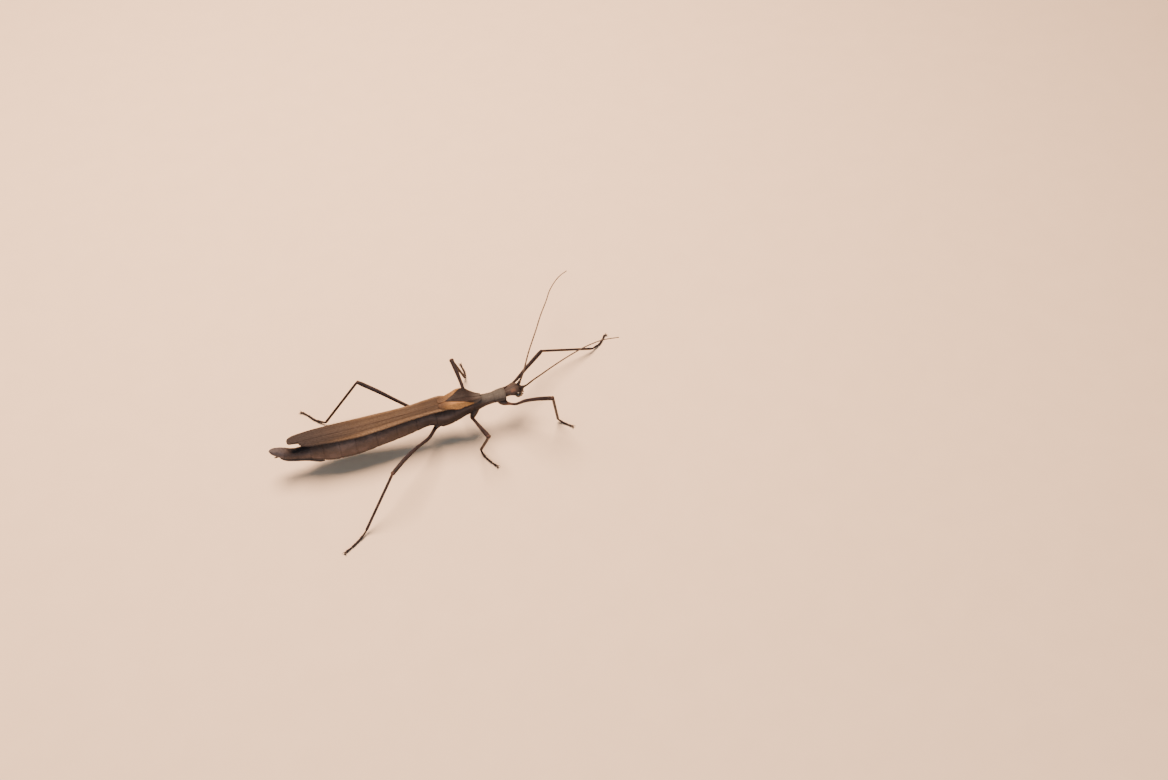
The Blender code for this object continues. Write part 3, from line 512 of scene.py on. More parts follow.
def wing_finish():
    f = Finish("wing", 0.55, Specular_IOR_Level=0.13)
    across, along = f.mask("across"), f.mask("along")
    streak = f.noise(0.5, 3, 0.6, stretch=9)
    thin = f.noise(0.16, 2, 0.5, stretch=14)
    tint = f.ramp(across, WING_BANDS)
    tint = f.mix(f.math("MULTIPLY", f.scaled(along, 19, 28, 0, 0.85), f.scaled(across, 0.5, 0.78)), tint, WING_TINTS["front"])
    tint = f.mix(f.math("MULTIPLY", f.scaled(along, 36, 42.5, 0, 0.75), f.scaled(across, 0.78, 0.55)), tint, WING_TINTS["fore"])
    tint = f.shade(tint, streak, 0.84, 1.16)
    tint = f.shade(tint, thin, 0.86, 1.14)
    # cross veins make a net of long cells
    place = f.node("ShaderNodeMapping", {"Vector": f.place, "Scale": (0.42, 1, 0.4)}).outputs[0]
    net = f.node("ShaderNodeTexVoronoi", {"Vector": place, "Scale": 1000 / 0.42}, feature="DISTANCE_TO_EDGE").outputs["Distance"]
    lines = f.scaled(net, 0.02, 0.09, 1, 0)
    tint = f.mix(f.math("MULTIPLY", lines, 0.5), tint, WING_TINTS["vein"])
    tint = f.mix(f.math("MULTIPLY", f.mask("vein"), 0.6), tint, WING_TINTS["vein"])
    tint = f.mix(f.math("MULTIPLY", f.mask("seam"), 0.8), tint, WING_TINTS["dark"])
    tint = f.mix(f.scaled(along, 29, 8.5, 0, 0.95), tint, f.shade(WING_TINTS["tip"], streak, 0.75, 1.25))
    f.bump(lines, 0.03, 0.7)
    f.bump(streak, 0.05, 0.5)
    f.bump(thin, 0.02, 0.5)
    return f.done(tint, f.scaled(streak, 0.3, 0.7, 0.46, 0.6, soft=False))


def tegmen_finish():
    f = Finish("tegmen", 0.55, Specular_IOR_Level=0.15)
    across, along = f.mask("across"), f.mask("along")
    broad, middle, fine = f.noise(1.6, 3), f.noise(0.45, 3, 0.6), f.noise(0.13, 2)
    dark = f.ramp(broad, [(0.3, TEGMEN_TINTS["dark"]), (0.7, TEGMEN_TINTS["brown"])])
    band = f.mask("band")
    ragged = f.math("ADD", band, f.scaled(middle, 0.3, 0.7, -0.12, 0.12, soft=False))
    orange = f.mix(f.scaled(broad, 0.35, 0.65, 0, 0.5), TEGMEN_TINTS["orange"], TEGMEN_TINTS["ochre"])
    orange = f.mix(f.scaled(along, 48.5, 45.0), orange, TEGMEN_TINTS["back"])
    orange = f.mix(f.mask("behind"), orange, f.mix(f.scaled(along, 49.5, 46), TEGMEN_TINTS["back"], TEGMEN_TINTS["wing"]))
    dark = f.mix(f.scaled(along, 52.8, 55.8, 0, 0.95), dark, TEGMEN_TINTS["shoulder"])
    tint = f.mix(f.scaled(ragged, 0.12, 0.85), dark, orange)
    net = f.node("ShaderNodeTexVoronoi", {"Vector": f.node("ShaderNodeMapping", {"Vector": f.place, "Scale": (0.6, 1, 0.6)}).outputs[0], "Scale": 1000 / 0.4}, feature="DISTANCE_TO_EDGE").outputs["Distance"]
    lines = f.scaled(net, 0.02, 0.1, 1, 0)
    tint = f.mix(f.math("MULTIPLY", lines, 0.35), tint, TEGMEN_TINTS["vein"])
    tint = f.mix(f.math("MULTIPLY", f.mask("vein"), 0.4), tint, TEGMEN_TINTS["vein"])
    tint = f.mix(f.math("MULTIPLY", f.mask("rim"), 0.8), tint, TEGMEN_TINTS["dark"])
    tint = f.shade(tint, fine, 0.85, 1.15)
    f.bump(lines, 0.035, 0.8)
    f.bump(middle, 0.05, 0.5)
    f.bump(fine, 0.015, 0.5)
    return f.done(tint, f.scaled(middle, 0.3, 0.7, 0.42, 0.6, soft=False))


def feeler_finish():
    f = Finish("feeler", 0.55, Specular_IOR_Level=0.18)
    fine = f.noise(0.2, 2)
    tint = f.mix(f.mask("band"), FEELER_TINTS["pale"], FEELER_TINTS["brown"])
    tint = f.mix(f.mask("joint"), tint, FEELER_TINTS["dark"])
    tint = f.mix(f.mask("base"), tint, FEELER_TINTS["base"])
    tint = f.shade(tint, fine, 0.82, 1.18)
    f.bump(fine, 0.012, 0.5)
    return f.done(tint, f.scaled(fine, 0.3, 0.7, 0.42, 0.58, soft=False))


def eye_finish():
    f = Finish("eye", 0.22, Specular_IOR_Level=0.4, Coat_Weight=0.2, Coat_Roughness=0.1)
    broad = f.noise(0.7, 3)
    tint = f.ramp(broad, [(0.32, EYE_TINTS["dark"]), (0.6, EYE_TINTS["olive"]), (0.72, EYE_TINTS["light"])])
    tint = f.mix(f.mask("rim"), tint, EYE_TINTS["rim"])
    tint = f.mix(f.mask("facet"), EYE_TINTS["dark"], tint)
    f.bump(f.noise(0.05, 1), 0.004, 0.3)
    return f.done(tint, f.scaled(broad, 0.3, 0.7, 0.18, 0.28, soft=False))


def claw_finish():
    f = Finish("claw", 0.3, Specular_IOR_Level=0.5)
    grain = f.noise(0.12, 2, 0.5)
    tint = f.mix(f.mask("tipward"), CLAW_TINTS["base"], CLAW_TINTS["tip"])
    tint = f.mix(f.mask("pad"), tint, CLAW_TINTS["pad"])
    tint = f.shade(tint, grain, 0.8, 1.2)
    f.bump(grain, 0.008, 0.5)
    return f.done(tint, f.scaled(f.mask("pad"), 0, 1, 0.28, 0.55))


def plate_finish():
    """The under plate, jaws and other harder plates of the body."""
    f = Finish("plate", 0.5, Specular_IOR_Level=0.18)
    broad, middle, fine = f.noise(1.2, 3), f.noise(0.35, 3, 0.6), f.noise(0.12, 2)
    tint = f.ramp(broad, [(0.3, SKIN["body_dark"]), (0.5, SKIN["body"]), (0.7, SKIN["body_light"])])
    tint = f.mix(f.mask("jaw"), tint, f.shade(SKIN["jaw"], middle, 0.7, 1.3))
    tint = f.mix(f.math("MULTIPLY", f.mask("dark"), 0.85), tint, SKIN["dark"])
    tint = f.shade(tint, fine, 0.86, 1.14)
    f.bump(middle, 0.04, 0.5)
    f.bump(fine, 0.012, 0.6)
    return f.done(tint, f.scaled(middle, 0.3, 0.7, 0.38, 0.55, soft=False))


SKIN = {
    "body_dark": colour(69, 57, 51), "body": colour(76, 63, 58), "body_light": colour(86, 72, 67),
    "speck": colour(92, 78, 71), "leg_dark": colour(34, 26, 28), "leg": colour(43, 33, 35),
    "leg_light": colour(54, 43, 44), "grey": colour(77, 73, 69), "grey_warm": colour(82, 75, 69),
    # the underside tint here is painted shade, darker and cooler against the floor's bounce light
    "belly": colour(50, 41, 39), "tail": colour(58, 49, 48), "tip": colour(78, 71, 73),
    "pale": colour(100, 86, 76), "rust": colour(112, 80, 64), "dark": colour(35, 28, 28),
    "jaw": colour(83, 59, 46),
}
WING_BANDS = [
    (0.0, colour(77, 60, 47)), (0.18, colour(84, 67, 52)), (0.42, colour(80, 63, 47)), (0.55, colour(77, 59, 44)),
    (0.68, colour(90, 69, 50)), (0.8, colour(120, 94, 66)), (0.93, colour(115, 89, 62)), (1.0, colour(90, 70, 52)),
]
WING_TINTS = {
    "front": colour(133, 106, 80), "fore": colour(66, 50, 37), "vein": colour(60, 44, 33), "dark": colour(40, 30, 27), "tip": colour(46, 38, 37),
}
TEGMEN_TINTS = {
    "dark": colour(36, 31, 31), "brown": colour(50, 42, 41), "orange": colour(174, 128, 76), "ochre": colour(156, 114, 70),
    "vein": colour(52, 36, 28), "back": colour(88, 64, 45), "wing": colour(80, 59, 43), "shoulder": colour(84, 76, 71),
}
FEELER_TINTS = {"pale": colour(88, 74, 66), "brown": colour(68, 55, 50), "dark": colour(52, 40, 36), "base": colour(42, 33, 31)}
EYE_TINTS = {"dark": colour(24, 21, 18), "olive": colour(44, 40, 32), "light": colour(66, 58, 44), "rim": colour(72, 54, 40)}
CLAW_TINTS = {"base": colour(50, 33, 27), "tip": colour(22, 14, 12), "pad": colour(82, 66, 56)}

MATERIALS = {
    "skin": skin_finish(), "wing": wing_finish(), "tegmen": tegmen_finish(), "feeler": feeler_finish(),
    "eye": eye_finish(), "claw": claw_finish(), "plate": plate_finish(),
}


# The body skin: trunk, neck and head in one loft -------------------------------------------------
AROUND = 168
BODY_MASKS = ("grey", "dark", "rust", "tail", "pale", "limb", "tip", "belly")


def tail_lean(x):
    ahead, behind = table(TRUNK, x + 0.3), table(TRUNK, x - 0.3)
    return 0.8 * min(max((behind[2] - ahead[2]) / 0.6, 0), 0.75) if x < 13 else 0.0


def trunk_top(x, y):
    _, yc, z, a, b = table(TRUNK, x)
    off = np.minimum(np.abs(np.asarray(y) - yc) / a, 0.98)
    return z + b * (1 - off**TRUNK_SQUARE) ** (1 / TRUNK_SQUARE)


def head_frame(s):
    turn = math.radians(HEAD_YAW) * min(max(s / 1.2, 0), 1)
    steps = 24
    x, y = HEAD_START, 0.0
    for k in range(steps):
        here = math.radians(HEAD_YAW) * min(s * (k + 0.5) / steps / 1.2, 1)
        x += math.cos(here) * s / steps
        y += math.sin(here) * s / steps
    return x, y, turn


def head_point(s, across, over):
    x, y, turn = head_frame(s)
    z = table(HEAD, s)[3]
    return np.array([x - math.sin(turn) * across, y + math.cos(turn) * across, z + over])


def from_top(angle):
    """Angle from the top of a section, 0 to 180, and the side it is on, +1 for the left."""
    turned = (np.asarray(angle) - 90 + 180) % 360 - 180
    return np.abs(turned), -np.sign(turned)


def section(a, b, power, height):
    """Across and up of one ring of half sizes a, b with a height in mm added outward."""
    across, up, _ = round_section(AROUND, power)
    w, h = a * across, b * up
    out = unit(np.column_stack([across / max(a, 1e-6), up / max(b, 1e-6)]))
    return w + out[:, 0] * height, h + out[:, 1] * height


def granules():
    """Small grains over the thorax and, sparser, along the hind edges of the rings of the abdomen."""
    rng = np.random.default_rng(11)
    grains = []
    for start, end, count, size in ((59.9, 62.5, 90, 0.1), (54.3, 59.5, 190, 0.105), (49, 53.8, 60, 0.11)):
        for _ in range(count):
            grains.append((rng.uniform(start, end), rng.uniform(-118, 118), size * rng.uniform(0.7, 1.25), 0.035))
    for border, _ in PLATE_BORDERS[3:]:
        for _ in range(46):
            grains.append((border + abs(rng.normal(0, 0.7)) + 0.15, rng.uniform(-170, 170), 0.11 * rng.uniform(0.7, 1.3), 0.022))
    for _ in range(420):
        grains.append((rng.uniform(8, 43), rng.uniform(-175, 175), 0.12 * rng.uniform(0.7, 1.3), 0.018))
    return np.array(grains)


GRAINS = granules()


def trunk_height(x, angle, a, b):
    """Height over the plain trunk at x, for the angles of one ring, and the masks there."""
    phi, side = from_top(angle)
    signed = phi * side
    around = (a + b) / 2 * np.radians(1)  # mm of surface for a degree
    height = np.zeros_like(phi)
    dark = np.zeros_like(phi)
    for border, depth in PLATE_BORDERS:
        back = border - x
        if back >= 0:
            height -= depth * math.exp(-back / 0.55) * float(smooth(0, 0.05, back))
            dark += min(4.5 * depth, 0.4) * math.exp(-((back / 0.22) ** 2))
        elif back > -0.6:
            height += 0.022 * math.exp(-((back + 0.12) / 0.1) ** 2)
            dark += 0.2 * math.exp(-((back / 0.1) ** 2))
    # fine cross folds where each ring slides under the one before it
    abdomen = float(1 - smooth(42.5, 44.5, x))
    nearest = min((b_ - x for b_, _ in PLATE_BORDERS if b_ >= x), default=9)
    if nearest < 1.5 and abdomen > 0:
        height += 0.012 * abdomen * math.sin(nearest * 2 * math.pi / 0.23) * math.exp(-nearest / 0.6)
    # the soft side fold between the back plates and the belly plates, with its breathing holes
    fold = abdomen * float(smooth(4.5, 8, x))
    height -= fold * 0.13 * bell(phi, 108, 3.2)
    height -= fold * 0.1 * bell(phi, 127, 3.4)
    height += fold * 0.05 * bell(phi, 117.5, 6)
    pale = fold * 0.55 * bell(phi, 117.5, 7)
    dark += fold * 0.5 * (bell(phi, 108, 3) + bell(phi, 127, 3))
    borders = [b_ for b_, _ in PLATE_BORDERS[3:]]
    for front, back in zip(borders[:-1], borders[1:]):
        spot = front - 0.28 * (front - back)
        near = np.hypot((x - spot) / 0.2, (phi - 117.5) * around / 0.13)
        height += fold * (0.05 * bell(near, 1.0, 0.35) - 0.1 * bell(near, 0, 0.55))
        dark += fold * 0.9 * bell(near, 0, 0.75)
    # plates of the belly: a low keel, and a groove at either side of it
    under = 180 - phi
    height += 0.035 * abdomen * bell(under * around, 0, 0.3) - 0.04 * abdomen * bell(under * around, 0.75, 0.16)
    # the back of the thorax: flat topped, with a keel, side ridges and furrows
    back_of = float(smooth(53.0, 55.0, x))
    height += back_of * (0.03 * bell(signed * around, 0, 0.09) - 0.03 * bell(np.abs(signed) * around, 0.2, 0.09))
    height += back_of * 0.05 * bell(phi, 66, 5) - back_of * 0.045 * bell(phi, 78, 5)
    dark += back_of * 0.55 * bell(phi, 74, 8)
    if x > 59.7:
        height -= 0.07 * bell(x, 61.35, 0.16) * bell(phi, 0, 46)  # cross furrow of the pronotum
        height -= 0.05 * bell(x, 62.3, 0.1) * bell(phi, 0, 70)
        height -= 0.03 * bell(np.abs(signed) * around, 0.85, 0.13) * bell(x, 60.7, 0.5)
    # seams of the thorax's side plates
    if x > 43.7:
        share = float(smooth(43.7, 45.5, x))
        height -= share * 0.09 * bell(phi, 98, 2.6) - share * 0.03 * bell(phi, 92, 5)
        slant = {0: 57.0, 1: 50.2}
        for at in slant.values():
            height -= share * 0.07 * bell((x - at) - (phi - 110) * 0.035, 0, 0.13) * smooth(92, 98, phi) * (1 - smooth(150, 160, phi))
        height -= share * 0.05 * bell(under * around, 0.0, 0.1)
        height -= share * 0.05 * bell(under * around, 0.9, 0.14)
        behind = float(smooth(59.5, 55.5, x))
        dark += share * (0.4 * bell(phi, 98, 2.6) + (0.5 + 0.3 * behind) * smooth(66, 95, phi))
        # painted shade: the top of the thorax darkens just in front of the wing covers' front ends, blending in the
        # shade cast by their step
        dark += 0.35 * float(bell(x, 56.2, 0.9)) * (1 - smooth(50, 70, phi))
    # painted shade: the flank under the wings is painted darker forward, where the wing edges overhang and shade it
    dark += 0.72 * float(smooth(34.0, 42.5, x) * smooth(57.5, 52.0, x)) * smooth(52, 76, phi) * (1 - smooth(128, 150, phi))
    # sockets of the legs
    for name, leg in LEGS.items():
        at = np.asarray(leg["coxa"][0]) * 0.45 + np.asarray(leg["coxa"][1]) * 0.55
        if abs(at[0] - x) < 2.4:
            on = 1 if name.endswith("left") else -1
            _, y, z, _, _ = table(TRUNK, x)
            toward = math.degrees(math.atan2(at[2] - z, at[1] - y))
            gap = (angle - toward + 180) % 360 - 180
            reach = np.hypot(x - at[0], gap * around)
            height += 0.05 * bell(reach, 1.32, 0.13) - 0.08 * bell(reach, 1.08, 0.12)
            dark += 0.45 * bell(reach, 1.1, 0.2)
    # grains
    close = GRAINS[np.abs(GRAINS[:, 0] - x) < 0.3]
    for gx, gphi, size, tall in close:
        away = np.hypot(x - gx, (signed - gphi) * around) / size
        height += tall * np.exp(-(away**2) * 1.4)
    grey_to = float(np.interp(x, (54, 55, 57, 60, 62.8), (26, 50, 66, 90, 97)))
    masks = {
        "grey": float(smooth(53.2, 54.8, x)) * (1 - smooth(grey_to - 12, grey_to + 9, phi)) * (0.82 + 0.18 * bell(phi, 0, 35)),
        "dark": np.clip(dark, 0, 1),
        "rust": np.zeros_like(phi),
        "tail": (1 - float(smooth(6.5, 11.5, x))) * (1 - 0.6 * smooth(70, 120, phi)),
        "tip": np.full_like(phi, 1 - float(smooth(2.6, 4.6, x))),
        "pale": np.clip(pale, 0, 1),
        "limb": np.zeros_like(phi),
        # painted shade: the underside is tinted darker and cooler to cancel the floor's warm bounce light
        "belly": smooth(94, 122, phi),
    }
    return height, masks


def head_height(s, points, angle, a, b):
    """Height over the plain head at s, and the masks there. points are the plain ring in mm."""
    phi, side = from_top(angle)
    signed = phi * side
    across = a * np.sin(np.radians(phi)) * side
    height = np.zeros_like(phi)
    dark = np.zeros_like(phi)
    top = 1 - smooth(60, 80, phi)
    # the crown: four low swellings behind, a midline seam that forks towards the feelers
    for w, at, size, tall in ((0.42, 1.15, 0.36, 0.05), (1.0, 1.3, 0.34, 0.035)):
        height += tall * (bell(across, w, size) + bell(across, -w, size)) * bell(s, at, 0.75) * top
    height -= 0.055 * bell(across, 0, 0.07) * float(smooth(0.25, 0.5, s) * (1 - smooth(3.2, 3.45, s))) * top
    fork = (s - 3.35) * 0.85
    if fork > -0.05:
        line = bell(np.abs(across) - max(fork, 0), 0, 0.07) * float(1 - smooth(4.2, 4.5, s)) * top
        height -= 0.05 * line
        dark += 0.4 * line
    dark += 0.35 * bell(across, 0, 0.1) * top * float(1 - smooth(3.1, 3.4, s))
    height -= 0.035 * bell(s, 0.42, 0.1)
    # eye sockets with a raised rim
    for on in (1, -1):
        centre = head_point(EYE_AT[0], on * EYE_AT[1], EYE_AT[2])
        turn = math.radians(HEAD_YAW)
        away = points - centre
        along = away[:, 0] * math.cos(turn) + away[:, 1] * math.sin(turn)
        aside = -away[:, 0] * math.sin(turn) + away[:, 1] * math.cos(turn)
        reach = np.sqrt((along / EYE_RADIUS) ** 2 + (aside / (EYE_RADIUS * 0.8)) ** 2 + (away[:, 2] / (EYE_RADIUS * 0.92)) ** 2)
        height += 0.06 * bell(reach, 1.1, 0.09) - 0.16 * smooth(1.04, 0.9, reach)
        height -= 0.04 * bell(reach, 1.3, 0.08)
        dark += 0.6 * bell(reach, 1.12, 0.1)
    # feeler sockets
    for on in ("left", "right"):
        reach = np.linalg.norm(points - np.asarray(ANTENNAE[on][0]), axis=1)
        height += 0.05 * bell(reach, 0.66, 0.1)
        dark += 0.5 * bell(reach, 0.6, 0.22)
    # cheeks: a seam below the eye, and a furrow where the jaws begin
    cheek = smooth(96, 104, phi) * (1 - smooth(128, 136, phi))
    height -= 0.05 * bell(phi, 112, 3.5) * float(smooth(0.8, 1.3, s) * (1 - smooth(4.0, 4.4, s)))
    height -= 0.04 * bell(s, 3.7, 0.09) * cheek
    dark += 0.35 * bell(phi, 112, 4) * float(smooth(0.8, 1.3, s))
    patch = np.where(across < 0, 1.0, 0.2) * np.clip(bell(np.abs(across), 0.95, 0.42) * float(smooth(0.9, 1.5, s) * (1 - smooth(2.2, 2.9, s))) * (1 - smooth(62, 80, phi)), 0, 1)
    masks = {
        "grey": 0.12 * (1 - smooth(56, 76, phi)) * float(smooth(0.3, 1.0, s) * (1 - smooth(3.2, 4.4, s))),
        "dark": np.clip(dark + 0.47 + 0.3 * float(1 - smooth(0.0, 0.7, s)) - 0.1 * bell(phi, 0, 40) * bell(s, 2.2, 1.3), 0, 1) * (1 - 0.55 * patch),
        "rust": 0.95 * patch,
        "tail": np.zeros_like(phi),
        "tip": np.zeros_like(phi),
        "pale": 0.5 * smooth(126, 150, phi),
        "limb": np.zeros_like(phi),
        # painted shade: the head's underside is tinted darker and cooler against the floor's bounce light
        "belly": 0.4 * smooth(118, 150, phi),
    }
    return height, masks


def body_loft():
    rings, sums = [], {key: [] for key in BODY_MASKS}
    _, _, angle = round_section(AROUND)

    def keep(ring, masks):
        rings.append(ring)
        for key in BODY_MASKS:
            sums[key].append(np.broadcast_to(masks[key], (AROUND,)))

    marks = [border for border, _ in PLATE_BORDERS]
    places = np.concatenate([
        [0.27, 0.34, 0.45, 0.6], stations(0.75, 43.5, 0.145, marks[3:]),
        stations(43.6, 53.5, 0.12, marks), stations(53.58, 62.55, 0.075, marks[:2]), [62.62, 62.69, 62.76, 62.82],
    ])
    places = places[np.concatenate([[True], np.diff(places) > 0.015])]
    for x in places:
        _, y, z, a, b = table(TRUNK, x)
        a, b, lean = a - INSET, b - INSET, tail_lean(x)
        height, masks = trunk_height(x, angle, a, b)
        w, h = section(a, b, TRUNK_SQUARE, height)
        keep(np.column_stack([x + h * lean, y + w, z + h]), masks)
    # the front rim of the pronotum rolls in to the neck
    _, y, z, a, b = table(TRUNK, 62.86)
    neck_masks = {key: 0.0 for key in BODY_MASKS}
    for x, shrink, dark in (
        (62.855, 0.05, 0.2), (62.86, 0.12, 0.4), (62.83, 0.22, 0.7), (62.76, 0.3, 0.9), (62.72, 0.38, 0.9),
        (62.76, 0.44, 0.8), (62.82, 0.46, 0.8), (62.88, 0.43, 0.9), (62.94, 0.46, 0.9),
    ):
        height = np.zeros(AROUND)
        w, h = section(a - shrink, b - shrink, 2.3, height)
        _, hz = 0, z + (0.3 * (shrink / 0.46))
        keep(np.column_stack([np.full(AROUND, x), y + w, hz + h]), {**neck_masks, "dark": dark, "pale": 0.25})
    for s in np.concatenate([[0.03, 0.07, 0.12], np.arange(0.18, 5.12, 0.055), [5.15]]):
        _, a, b, _ = table(HEAD, s)
        a, b = a - INSET, b - INSET
        across, up, _ = round_section(AROUND, 2.3)
        x, y, turn = head_frame(s)
        z = table(HEAD, s)[3]
        plain = np.column_stack([x - math.sin(turn) * a * across, y + math.cos(turn) * a * across, z + b * up])
        height, masks = head_height(s, plain, angle, a, b)
        w, h = section(a, b, 2.3, height)
        keep(np.column_stack([x - math.sin(turn) * w, y + math.cos(turn) * w, z + h]), masks)
    _, a, b, _ = table(HEAD, 5.15)
    for t in (0.25, 0.45, 0.62, 0.78, 0.9, 0.97):
        s, share = 5.15 + 0.22 * t, math.sqrt(1 - t * t)
        w, h = section((a - INSET) * share, (b - INSET) * share, 2.3, np.zeros(AROUND))
        keep(np.array([head_point(s, p, q - 0.05 * t) for p, q in zip(w, h)]), {**masks, "dark": 0.3})
    rings = np.array(rings)
    rings += 0.012 * rumple(rings, 1.6, 5)[..., None] * unit(rings - rings.mean(1, keepdims=True))
    return loft(
        "skin", rings, {key: np.array(sums[key]) for key in BODY_MASKS}, first=(0.05, 0.44, 9.93),
    )


# Legs ------------------------------------------------------------------------------------------
def keels(deep, wide, teeth=0.0, step=0.0, length=1.0):
    """Relief of a limb: four long keels, toothed along the two lower ones."""
    def relief(t, angle):
        out = 0.0
        for at in (45, 135, 225, 315):
            gap = (angle - at + 180) % 360 - 180
            line = deep * bell(gap, 0, wide)
            if teeth and at > 180:
                line = line * (1 + teeth * np.cos(2 * math.pi * t * length / step))
            out = out + line
        return out - deep * 0.6
    return relief


def limb(name, points, radii, reference, count, masks, relief=None, power=2.0, flat=1.0, ends=(True, True), floor=None):
    capped, around = domed(points, radii, ends)
    lead = (len(capped) - len(points)) // (2 if all(ends) else 1) if any(ends) else 0
    rings = tube_rings(capped, around, around * flat, reference, count, power, 0.0, relief, floor)
    rows = len(capped)
    before = lead if ends[0] else 0
    full = {}
    for key in BODY_MASKS:
        values = np.broadcast_to(np.asarray(masks.get(key, 0.0), float), (len(points),))
        wide = np.empty(rows)
        wide[:before] = values[0]
        wide[before : before + len(points)] = values
        wide[before + len(points) :] = values[-1]
        full[key] = wide[:, None]
    return loft(name, rings, full)


TOE_LENGTHS = (0.36, 0.16, 0.12, 0.1, 0.26)


def toe_profile(t):
    """Half width and half height of the foot at a share t of its length, over its five joints."""
    edges = np.concatenate([[0], np.cumsum(TOE_LENGTHS)])
    width, tall, seam = np.empty_like(t), np.empty_like(t), np.zeros_like(t)
    for i in range(5):
        inside = (t >= edges[i]) & (t <= edges[i + 1] + 1e-9)
        u = (t[inside] - edges[i]) / TOE_LENGTHS[i]
        if i < 4:
            width[inside] = 0.235 + 0.13 * u**1.4 - 0.15 * smooth(0.9, 1.0, u)
            tall[inside] = 0.25 + 0.09 * u**1.6 - 0.12 * smooth(0.9, 1.0, u)
        else:
            width[inside] = 0.19 + 0.13 * u**1.5
            tall[inside] = 0.2 + 0.1 * u**1.2
        if i:
            seam += bell(t, edges[i], 0.012)
    return width, tall, np.clip(seam, 0, 1)


def leg_parts(name, leg):
    """The pieces of one leg that join the skin, from the body outward."""
    base, trochanter = (np.array(p, float) for p in leg["coxa"])
    knee, ankle = np.array(leg["knee"], float), np.array(leg["ankle"], float)
    bend = unit(np.cross(knee - trochanter, ankle - knee))
    outward = np.cross(bend, knee - trochanter)
    thin, middle, thick = leg["thick"]
    made = []

    # coxa: a stout cone with lengthwise ridges and a rim
    count = 26
    t = np.linspace(0, 1, count)
    points = base + (trochanter - base) * t[:, None]
    radii = np.interp(t, (0, 0.25, 0.5, 0.75, 0.9, 1), (0.98, 0.99, 0.93, 0.8, 0.68, 0.54))
    radii += 0.03 * bell(t, 0.9, 0.035) - 0.03 * bell(t, 0.82, 0.03)
    # painted light: the middle pair of coxae get a paler tint, standing in for light that the body's shadow keeps from
    # them
    made.append(limb(
        "coxa_" + name, points, radii, (0, 0, 1) if abs(unit(trochanter - base)[2]) < 0.9 else (1, 0, 0), 56,
        {"limb": 1.0, "dark": 0.15 * bell(t, 0.86, 0.05), "pale": 0.5 if name.startswith("mid") else 0.28, "rust": leg["rust"] * 0.2 * smooth(0.7, 1, t)},
        relief=lambda u, angle: 0.03 * np.cos(np.radians(angle * 5)) * smooth(0.1, 0.5, u) - 0.02,
    ))

    # trochanter: a short ring between coxa and femur
    curve = resampled(np.array(through([trochanter, *leg["femur"], knee], 240)), 0, 0, 240)
    line = resampled(curve, 0, length_of(curve) - 1.15, 18)
    t = np.linspace(0, 1, 18)
    radii = 0.46 - 0.07 * t + 0.05 * bell(t, 0.45, 0.3) - 0.05 * bell(t, 0.8, 0.08)
    radii *= thin / 0.4 * 0.5 + 0.5
    made.append(limb(
        "trochanter_" + name, line, radii, outward, 32,
        {"limb": 1.0, "rust": leg["rust"] * (0.6 - 0.3 * t), "dark": 0.6 * bell(t, 0.8, 0.1)}, power=2.0,
    ))

    # femur
    span = length_of(curve) - 0.55 - 0.12
    count = int(span / 0.11)
    line = resampled(curve, 0.55, 0.12, count)
    t = np.linspace(0, 1, count)
    profile = np.array([thin * 1.08, thin, thin * 0.98, middle * 0.96, middle, middle * 1.04, thick * 0.95, thick, thick * 1.02, thick * 0.92])
    radii = np.interp(t, np.linspace(0, 1, 10), profile)
    radii = np.convolve(np.pad(radii, 6, mode="edge"), np.ones(13) / 13, mode="valid") - 0.01
    radii += 0.03 * bell(t, 0.94, 0.03) - 0.04 * bell(t, 0.985, 0.012)
    mottle = 0.5 + 0.5 * rumple(line, 2.4, sum(map(ord, name)) % 97)
    made.append(limb(
        "femur_" + name, line, radii, outward, 40,
        {"limb": 1.0, "dark": np.clip(0.12 * mottle + 0.55 * smooth(0.72, 0.97, t) * (1 - 0.6 * smooth(0.985, 1, t)) + 0.25 * bell(t, 0.5, 0.06), 0, 1),
         "rust": np.clip(leg["rust"] * (1 - smooth(0, 0.14, t)) * 0.5 + 0.35 * smooth(0.975, 1, t), 0, 1)},
        relief=keels(0.045, 15, 0.5, 0.42, span), power=2.15, ends=(True, True),
    ))

    # knee lobes: a flap at either side of the end of the femur
    along = unit(knee - curve[-12])
    for sign in (1, -1):
        at = knee - along * 0.28 + bend * sign * thick * 0.42
        lobe = np.array([at + along * s for s in np.linspace(-0.35, 0.34, 10)])
        made.append(limb(
            "lobe_%s_%d" % (name, sign), lobe, np.interp(np.linspace(0, 1, 10), (0, 0.5, 1), (0.2, 0.32, 0.24)) * thick / 0.56,
            bend, 20, {"limb": 1.0, "dark": 0.55}, flat=1.25,
        ))

    # tibia
    start = knee + unit(ankle - knee) * 0.02
    span = np.linalg.norm(ankle - start) - 0.04
    count = int(span / 0.11)
    t = np.linspace(0, 1, count)
    line = start + unit(ankle - start) * (t * span)[:, None]
    radii = np.interp(t, (0, 0.03, 0.08, 0.2, 0.6, 0.88, 0.97, 1), (0.28, 0.355, 0.36, 0.365, 0.358, 0.36, 0.38, 0.33))
    made.append(limb(
        "tibia_" + name, line, radii, np.cross(bend, ankle - knee), 36,
        {"limb": 1.0, "rust": np.clip(0.4 * bell(t, 0.0, 0.06) + 0.1 * bell(t, 0.97, 0.03), 0, 1),
         "dark": np.clip(0.15 * (0.5 + 0.5 * rumple(line, 1.8, sum(map(ord, name)) % 89)) + 0.3 * smooth(0.9, 1, t), 0, 1),
         "pale": 0.08 * (1 - smooth(0.6, 0.95, t)) * smooth(0.05, 0.2, t)},
        relief=keels(0.04, 16, 0.6, 0.36, span), power=2.15,
    ))

